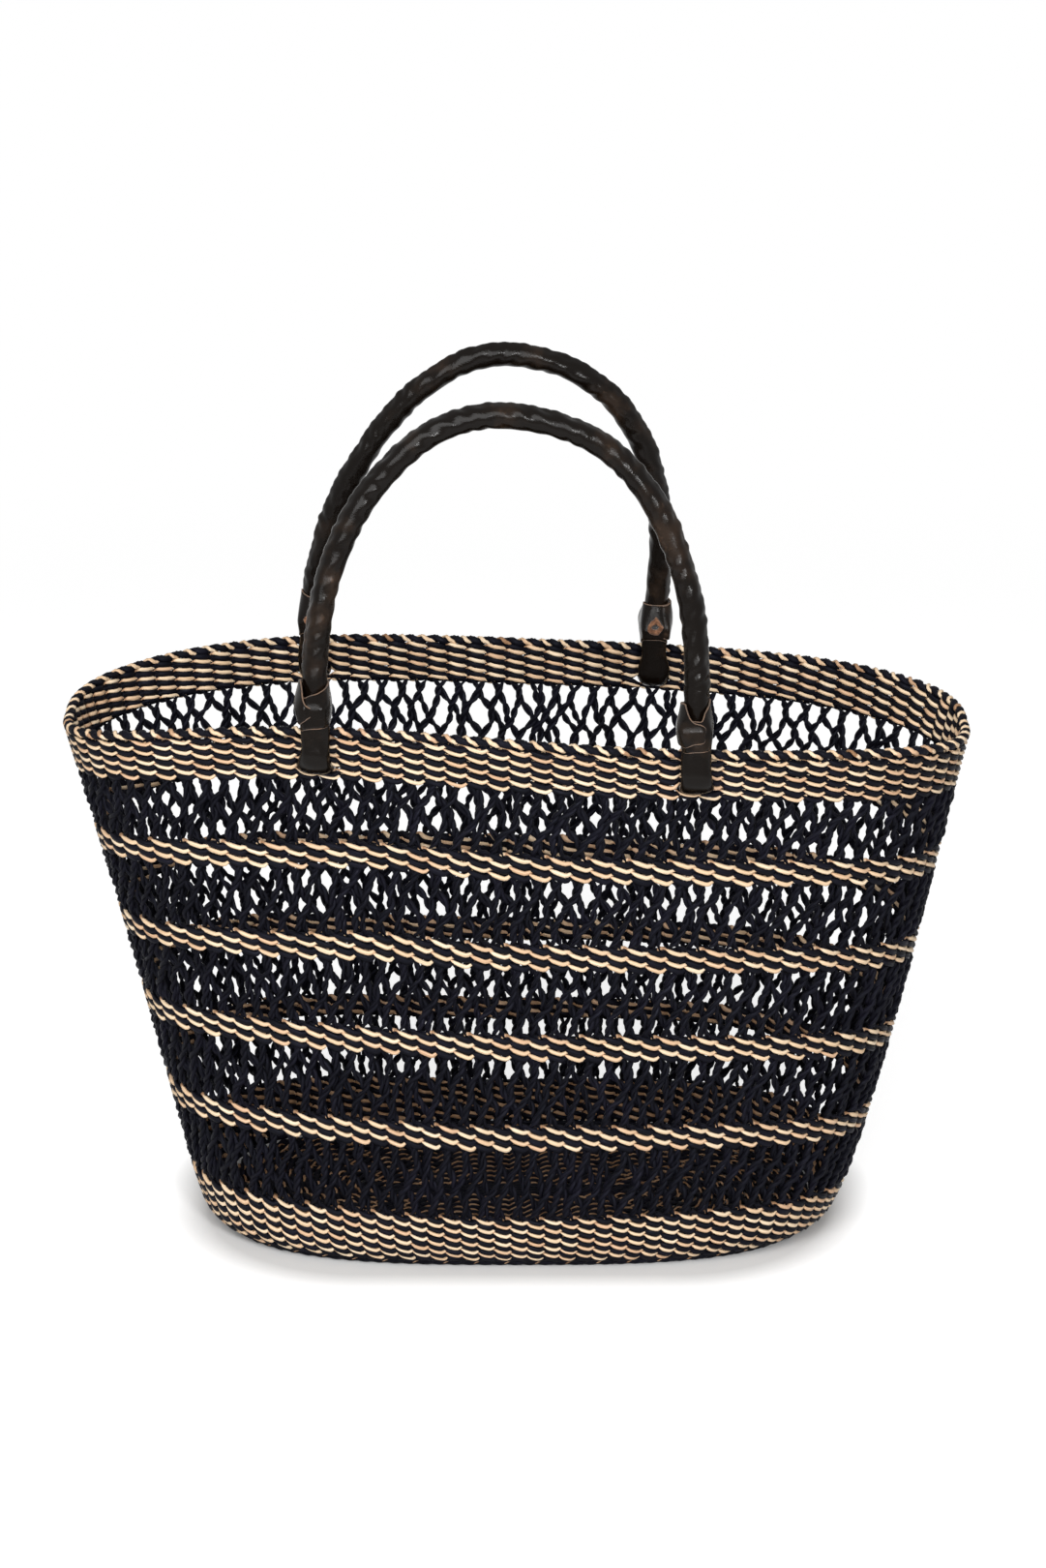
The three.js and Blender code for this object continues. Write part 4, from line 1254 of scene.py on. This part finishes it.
def arch_line(side, steps):
    """Centre line of a handle, at an even pace: straight out of both collars, then a superellipse that leans right."""
    arch = ARCHES[side]
    left, right = FEET[side]
    rope_end = arch.collar_rise + LEG_IN_COLLAR + ROPE_ABOVE_LEGS
    neck = arch.collar_rise + COLLAR_HEIGHT
    turn = np.linspace(0, math.pi, 721)
    exponent = 2 / np.where(turn < math.pi / 2, arch.left_squareness, arch.right_squareness)
    across = np.concatenate([[1], power(np.cos(turn), exponent), [-1]])
    rise = np.concatenate([[rope_end], mix(neck, arch.top, np.sin(turn) ** exponent), [rope_end]])
    line = mix(left.border, right.border, ((1 - across) / 2)[:, None]) + rise[:, None] * left.up
    line[:, 0] += lean_at(side, rise)
    return even_pace(line, steps)


class TOTE_OT_handles(bpy.types.Operator):
    """Sews the leather sleeves of both handles over their twisted rope cores"""

    bl_idname = "tote.handles"
    bl_label = "Handle covers and cores"

    def execute(self, context):
        sizes = context.scene.tote_handles
        for side, name, seed in ((FRONT, "front", 51), (BACK, "back", 52)):
            rng = np.random.default_rng(seed)
            skin = Skin()
            skin.add(self.sleeve(side, sizes, rng), looped=True, length=0.9, tint=0.5)
            piece = skin.build(f"{name}_handle_leather", [finish("Dark leather")])
            dress(piece, f"handle_{name}", "dark_leather", f"handle_{name}_cover")
            self.core(side, name)
        return {"FINISHED"}

    def sleeve(self, side, sizes, rng):
        """Rings of the sleeve's outer skin and back inside it.

        The radius is the rope's, plus three ridges that wind round with the rope's lay, soft dents, and a scalloped
        seam along the inner side of the arch.
        """
        steps, sides = 340, 40
        line, length = arch_line(side, steps)
        plane = FEET[side][0].inward
        along = unit(np.gradient(line, axis=0))
        out = np.cross(along, plane) * side
        angle = (np.arange(sides) / sides * TAU)[None]
        where = length[:, None]
        drift = sum(
            size * np.sin(TAU * where / (reach * MM) + rng.uniform(0, TAU)) for size, reach in ((0.9, 71), (0.7, 29))
        )
        swell = 0.6 + 0.4 * np.sin(TAU * where / (43 * MM) + 2 * angle)
        lay = np.cos(3 * angle - TAU * where / (sizes.lay / 3) + drift) * swell
        dents = ripples(rng, angle, where, (0, 1, 1, 2, 2, 3), 30 * MM, 110 * MM) / 3
        creases = ripples(rng, angle, where, (2, 3, 4, 5), 8 * MM, 16 * MM) / 4
        seam_half_turn, crease_depth, under_rope = 0.24, 0.09 * MM, 0.1 * MM
        seam_at = np.exp(-((turn_from(angle, math.pi) / seam_half_turn) ** 2))
        scallop = 0.55 + 0.45 * np.abs(np.sin(math.pi * where / sizes.seam_stitch))
        radius = ROPE_RADIUS - under_rope + sizes.lay_depth * lay + sizes.dents * dents + crease_depth * creases
        radius = radius + sizes.seam_height * seam_at * scallop
        # Plain inside the collars, and full from 22 mm on
        ends = smooth((np.minimum(where, length[-1] - where) - 12 * MM) / (10 * MM))
        radius = mix(ROPE_RADIUS, radius, ends)
        turned = np.cos(angle)[..., None] * out[:, None] + np.sin(angle)[..., None] * plane
        outer = line[:, None] + radius[..., None] * turned
        inner = line[:, None] + (ROPE_RADIUS - COVER_THICKNESS) * turned
        return np.concatenate([outer, inner[::-1]])[None]

    def core(self, side, name):
        """Three rope strands that wind round the handle's centre line."""
        turn_length, orbit, half_wide, half_thick = 31 * MM, 2.35 * MM, 2.3 * MM, 2.1 * MM
        line, length = arch_line(side, 150)
        plane = np.broadcast_to(FEET[side][0].inward, line.shape)
        skin = Skin()
        wide, thick = frame_along(line[None], plane[None])
        for strand in range(3):
            angle = (TAU * length / turn_length + strand * TAU / 3)[None, :, None]
            path = line[None] + orbit * (wide * np.cos(angle) + thick * np.sin(angle))
            radial = unit(path - line[None])
            across, away = frame_along(path, radial)
            rings = tube(path, across, away, half_wide, half_thick, 8)
            skin.add(rings, length=float(length[-1]), tint=0.2 + 0.3 * strand)
        piece = skin.build(f"{name}_handle_rope", [finish("Rope fibre")])
        dress(piece, f"handle_{name}", "rope_fibre", f"handle_{name}_core")


def loop_line(foot, steps):
    """Centre line of a folded loop: down outside the rim band, round through its slot and up again inside."""
    slot, _ = WALL.at_x(foot.x, foot.side, SLOT_HEIGHT)
    turn = np.linspace(0, math.pi, 60)
    bend = np.stack([
        np.full(len(turn), foot.x),
        slot[1] + foot.side * LOOP_OFFSET * np.cos(turn),
        slot[2] + LOOP_OFFSET - LOOP_OFFSET * np.sin(turn),
    ], -1)
    tops = [
        foot.border + inwards * (LOOP_OFFSET - CLEARANCE) * foot.inward + (foot.collar_rise + LEG_IN_COLLAR) * foot.up
        for inwards in (-1, 1)
    ]
    line = np.concatenate([tops[:1], bend, tops[1:]])
    return even_pace(line, steps)


class TOTE_OT_handle_loops(bpy.types.Operator):
    """Folds the flattened handle ends through the slots of the rim band"""

    bl_idname = "tote.handle_loops"
    bl_label = "Handle loops"

    def execute(self, context):
        sizes = context.scene.tote_handles
        steps, sides = 90, 36
        # The leather is a little wider than the solid round the bend, and thinner in the collar
        flare_reach, wider, thinner = 0.25, 0.9 * MM, 0.6 * MM
        for seed, foot in enumerate(ALL_FEET, 61):
            rng = np.random.default_rng(seed)
            line, length = loop_line(foot, steps)
            share = length / length[-1]
            flare = np.exp(-(((share - 0.5) / flare_reach) ** 2))
            half_wide = mix(LOOP_TOP_WIDTH, LOOP_WIDTH + wider, flare) / 2
            half_thick = mix(LOOP_THICKNESS / 2 - thinner, LOOP_THICKNESS / 2, flare)
            plane = np.broadcast_to([1.0, 0.0, 0.0], line.shape)
            along = unit(np.gradient(line, axis=0))
            out = np.cross(along, plane)
            angle = (np.arange(sides) / sides * TAU)[None]
            where = length[:, None]
            dents = ripples(rng, angle, where, (0, 1, 2, 2, 3), 12 * MM, 50 * MM) / 3
            grow = 1 + sizes.dents / (3 * MM) * dents
            c, s = power(np.cos(angle), 0.8), power(np.sin(angle), 0.9)
            rings = line[:, None] + (half_wide[:, None] * grow * c)[..., None] * plane[:, None]
            rings = rings + (half_thick[:, None] * grow * s)[..., None] * out[:, None]
            skin = Skin()
            skin.add(rings[None], length=float(length[-1]), tint=0.5)
            piece = skin.build(f"loop_{foot.name}", [finish("Dark leather")])
            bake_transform(piece)
            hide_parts(f"handle_loop_{foot.name}")
        return {"FINISHED"}


def collar_skin(foot, level, angle, lift):
    """Places on a collar's skin, moved outwards by lift.

    angle is 0 at the right as seen from outside the basket, 90 degrees on the outer side, 180 at the left and 270 on
    the inner side. The section is a rounded box over both legs that closes to a round neck on the rope.
    """
    level, angle, lift = np.broadcast_arrays(level, angle, lift)
    ease = smooth((level - COLLAR_SHOULDER) / (1 - COLLAR_SHOULDER))
    base_depth = LOOP_OFFSET + LOOP_THICKNESS / 2 + CLEARANCE + COLLAR_LEATHER
    neck = ROPE_RADIUS + CLEARANCE + COLLAR_LEATHER
    waist = 1 * MM * (1 - smooth(level / 0.5))
    across = mix(COLLAR_WIDTH / 2, neck, ease) - waist + lift
    depth = mix(base_depth, neck, ease) + lift
    rise = foot.collar_rise + COLLAR_HEIGHT * level
    exponent = 2 / mix(COLLAR_SQUARENESS - 2, 2, ease)
    x = across * power(np.cos(angle), exponent)
    y = depth * power(np.sin(angle), exponent)
    return (
        foot.border
        + rise[..., None] * foot.up
        + lean_at(foot.side, rise)[..., None] * np.array([1.0, 0.0, 0.0])
        + x[..., None] * foot.right
        - y[..., None] * foot.inward
    )


class Wrap:
    """One layer of collar leather: for each angle, the levels of its lower and upper edge and its lift."""

    def __init__(self, angle, low, high, lift, looped):
        self.angle, self.low, self.high, self.lift, self.looped = angle, low, high, lift, looped

    def slab(self, foot, thickness):
        """Closed sections: up the outer skin, over a round edge, and down the inner skin."""
        count = 14
        rise = np.linspace(0, 1, count)[None]
        level = mix(self.low[:, None], self.high[:, None], rise)
        outer = collar_skin(foot, level, self.angle[:, None], self.lift(level, self.angle[:, None]))
        inner = collar_skin(foot, level, self.angle[:, None], self.lift(level, self.angle[:, None]) - thickness)
        return np.concatenate([outer, inner[:, ::-1]], axis=1)[None]

    def edge(self, foot, upper, width, thickness):
        """A thin raw edge that follows the upper or the lower edge."""
        level = (self.high if upper else self.low)[None]
        angle = self.angle[None]
        path = collar_skin(foot, level, angle, self.lift(level, angle) - 0.35 * thickness)
        normal = unit(path - collar_skin(foot, level, angle, self.lift(level, angle) - 3 * thickness))
        wide, thick = frame_along(path, normal, looped=self.looped)
        return tube(path, wide, thick, width / 2, 0.42 * thickness, 8)


class TOTE_OT_collars(bpy.types.Operator):
    """Wraps the collars: a sleeve with a notched top and a flap folded across it, with raw tan edges"""

    bl_idname = "tote.collars"
    bl_label = "Collars"

    def execute(self, context):
        sizes = context.scene.tote_handles
        # Levels of the sleeve's top round the collar, then of the flap's upper and lower edge, all at angles in
        # degrees as seen from outside the basket: 0 at the right, 90 in front, 180 at the left and 270 inside
        left_top = ((0, 0.95), (33, 0.86), (75, 0.75), (116, 0.64), (140, 0.68), (180, 0.94), (270, 0.96))
        right_top = ((0, 1.04), (28, 0.92), (65, 0.79), (84, 0.64), (100, 0.66), (130, 0.72), (180, 0.94), (270, 0.96))
        left_flap = (
            (262, 0.93, 0.3), (200, 0.97, 0.22), (158, 1.0, 0.16), (129, 0.78, 0.12),
            (104, 0.56, 0.2), (92, 0.45, 0.28), (88, 0.38, 0.33),
        )
        right_flap = (
            (262, 0.93, 0.3), (200, 0.97, 0.2), (141, 0.97, 0.13), (119, 0.82, 0.11),
            (100, 0.68, 0.15), (84, 0.56, 0.22), (74, 0.47, 0.3), (70, 0.4, 0.36),
        )
        # Top and flap, how much the hem rises to the right, and how far the flap is padded out
        folds = {
            "front_left": (left_top, left_flap, 0.06, 1.1 * MM),
            "front_right": (right_top, right_flap, 0.03, 1.7 * MM),
            "back_left": (right_top, left_flap, -0.02, 1.3 * MM),
            "back_right": (left_top, right_flap, 0.02, 1.5 * MM),
        }
        for seed, foot in enumerate(ALL_FEET, 71):
            skin = Skin()
            for wrap, uppers in self.wraps(folds[foot.name], np.random.default_rng(seed)):
                slab = wrap.slab(foot, sizes.wrap_leather)
                skin.add(slab, looped=wrap.looped, length=0.075, tint=0.5)
                for upper in uppers:
                    edge = wrap.edge(foot, upper, sizes.edge_width, sizes.wrap_leather)
                    skin.add(edge, looped=wrap.looped, length=0.075, tint=0.5, finish=1)
            piece = skin.build(f"wrap_{foot.name}", [finish("Dark leather"), finish("Raw leather edge")])
            dress(piece, foot.body, "dark_leather", f"collar_{foot.name}")
        return {"FINISHED"}

    def wraps(self, fold, rng):
        """The sleeve and the flap of one collar, with the edges of each that show raw."""
        top, flap_edges, tilt, bulge = fold
        hem, edge_wave, under_flap, tucked, held_out = 0.015, 0.01, 0.7 * MM, -1.6 * MM, 0.25 * MM
        waves = rng.uniform(0, TAU, 4)

        def crumple(level, angle):
            """Soft waves over the leather."""
            return 0.2 * MM * (np.sin(3 * angle + waves[0] + 4 * level) + np.sin(5 * angle - 7 * level + waves[1]))

        angle = np.arange(96) / 96 * TAU
        at, level = np.array(top).T
        high = np.interp(angle, np.radians(at), level, period=TAU) + edge_wave * np.sin(2 * angle + waves[2])
        low = COLLAR_HEM_RISE * np.maximum(-np.sin(angle), 0) + hem
        low = low + tilt * np.cos(angle) + edge_wave * np.sin(2 * angle + waves[3])

        def sunk(level, angle):
            """Under the flap, and crumpled between the hem and the top."""
            return crumple(level, angle) * np.sin(math.pi * np.clip(level, 0, 1)) - under_flap

        sleeve = Wrap(angle, low, high, sunk, True)

        at, upper, lower = np.array(flap_edges).T
        start, tip = np.radians(at[0]), np.radians(at[-1])
        reach = np.linspace(0, 1, 64)
        angle = mix(start, tip, reach)
        place = (np.radians(at) - start) / (tip - start)
        high, low = np.interp(reach, place, upper), np.interp(reach, place, lower)
        held = smooth(reach / 0.2) * smooth((1 - reach) / 0.08)

        def lift(level, at):
            """Tucked under at both ends, and padded between them."""
            place = (np.asarray(at) - start) / (tip - start)
            free = np.interp(place, reach, held)
            padding = free * (0.35 + 0.65 * smooth((place - 0.25) / 0.3)) * np.sin(math.pi * np.clip(level, 0, 1))
            return mix(tucked, held_out, free) + bulge * padding + crumple(level, at)

        flap = Wrap(angle, low, high, lift, False)
        return (sleeve, (True, False)), (flap, (True, False))


class TOTE_OT_strap_tails(bpy.types.Operator):
    """Cuts the tan suede lozenges that close the wraps on the inner side"""

    bl_idname = "tote.strap_tails"
    bl_label = "Strap tails"

    def execute(self, context):
        sizes = context.scene.tote_handles
        half = sizes.lozenge / 2
        sides, squareness, middle_level = 32, 1.1, 0.56
        for seed, foot in enumerate(ALL_FEET, 81):
            rng = np.random.default_rng(seed)
            angle = (np.arange(sides) / sides * TAU)[None]
            corner = np.abs(np.cos(angle)) ** squareness + np.abs(np.sin(angle)) ** squareness
            corner = corner ** (-1 / squareness)
            frayed = 1 + 0.05 * np.sin(5 * angle + rng.uniform(0, TAU)) + 0.04 * np.sin(9 * angle + rng.uniform(0, TAU))
            # From the hole's rim out over the face, round the edge and back underneath
            reach = np.array([0.26, 0.27, 0.32, 0.5, 0.8, 0.94, 1.0, 0.97, 0.8, 0.4])[:, None]
            lift = np.array([0.3, 0.9, 1.2, 1.45, 1.4, 1.25, 0.85, 0.3, 0.1, 0.1])[:, None] * MM
            lift = lift + 0.14 * MM * np.sin(3 * angle + 5 * reach + rng.uniform(0, TAU)) * smooth(lift / MM)
            p = reach * corner * frayed * np.cos(angle) * half
            q = reach * corner * frayed * np.sin(angle) * half
            around = math.radians(270) + 0.5 * p / (COLLAR_WIDTH / 2)
            skin = Skin()
            points = collar_skin(foot, middle_level + q / COLLAR_HEIGHT, around, lift - 0.6 * MM)
            skin.add(points[None], looped=True, length=half * 2, tint=0.5)
            piece = skin.build(f"lozenge_{foot.name}", [finish("Tan suede")])
            dress(piece, foot.body, "tan_suede", f"strap_tail_{foot.name}")
        return {"FINISHED"}


class TOTE_PT_panel(bpy.types.Panel):
    """Lists the tote's pieces and sizes"""

    bl_idname = "TOTE_PT_panel"
    bl_label = "Woven tote"
    bl_space_type = "VIEW_3D"
    bl_region_type = "UI"
    bl_category = "Tote"

    def draw(self, context):
        layout = self.layout
        for operator in OPERATORS:
            layout.operator(operator.bl_idname)
        for name in GROUPS:
            box = layout.box()
            box.label(text=name.removeprefix("tote_").capitalize())
            group = getattr(context.scene, name)
            for key in group.__annotations__:
                box.prop(group, key)


GROUPS = {
    "tote_weave": WeaveSizes,
    "tote_handles": HandleSizes,
    "tote_colours": ToteColours,
    "tote_stage": StageSettings,
}
OPERATORS = (
    TOTE_OT_stage,
    TOTE_OT_base_mat,
    TOTE_OT_twined_bands,
    TOTE_OT_openwork,
    TOTE_OT_rim_border,
    TOTE_OT_handles,
    TOTE_OT_handle_loops,
    TOTE_OT_collars,
    TOTE_OT_strap_tails,
)


def register():
    """Registers the classes and hangs the settings on the scene."""
    for made in (*GROUPS.values(), *OPERATORS, TOTE_PT_panel):
        bpy.utils.register_class(made)
    for name, group in GROUPS.items():
        setattr(bpy.types.Scene, name, bpy.props.PointerProperty(type=group))


def unregister():
    """Takes the settings and the classes away again."""
    for name in GROUPS:
        delattr(bpy.types.Scene, name)
    for made in reversed((*GROUPS.values(), *OPERATORS, TOTE_PT_panel)):
        bpy.utils.unregister_class(made)


def main():
    """Makes every piece in order."""
    register()
    for operator in OPERATORS:
        group, name = operator.bl_idname.split(".")
        getattr(getattr(bpy.ops, group), name)()


if __name__ == "__main__":
    main()
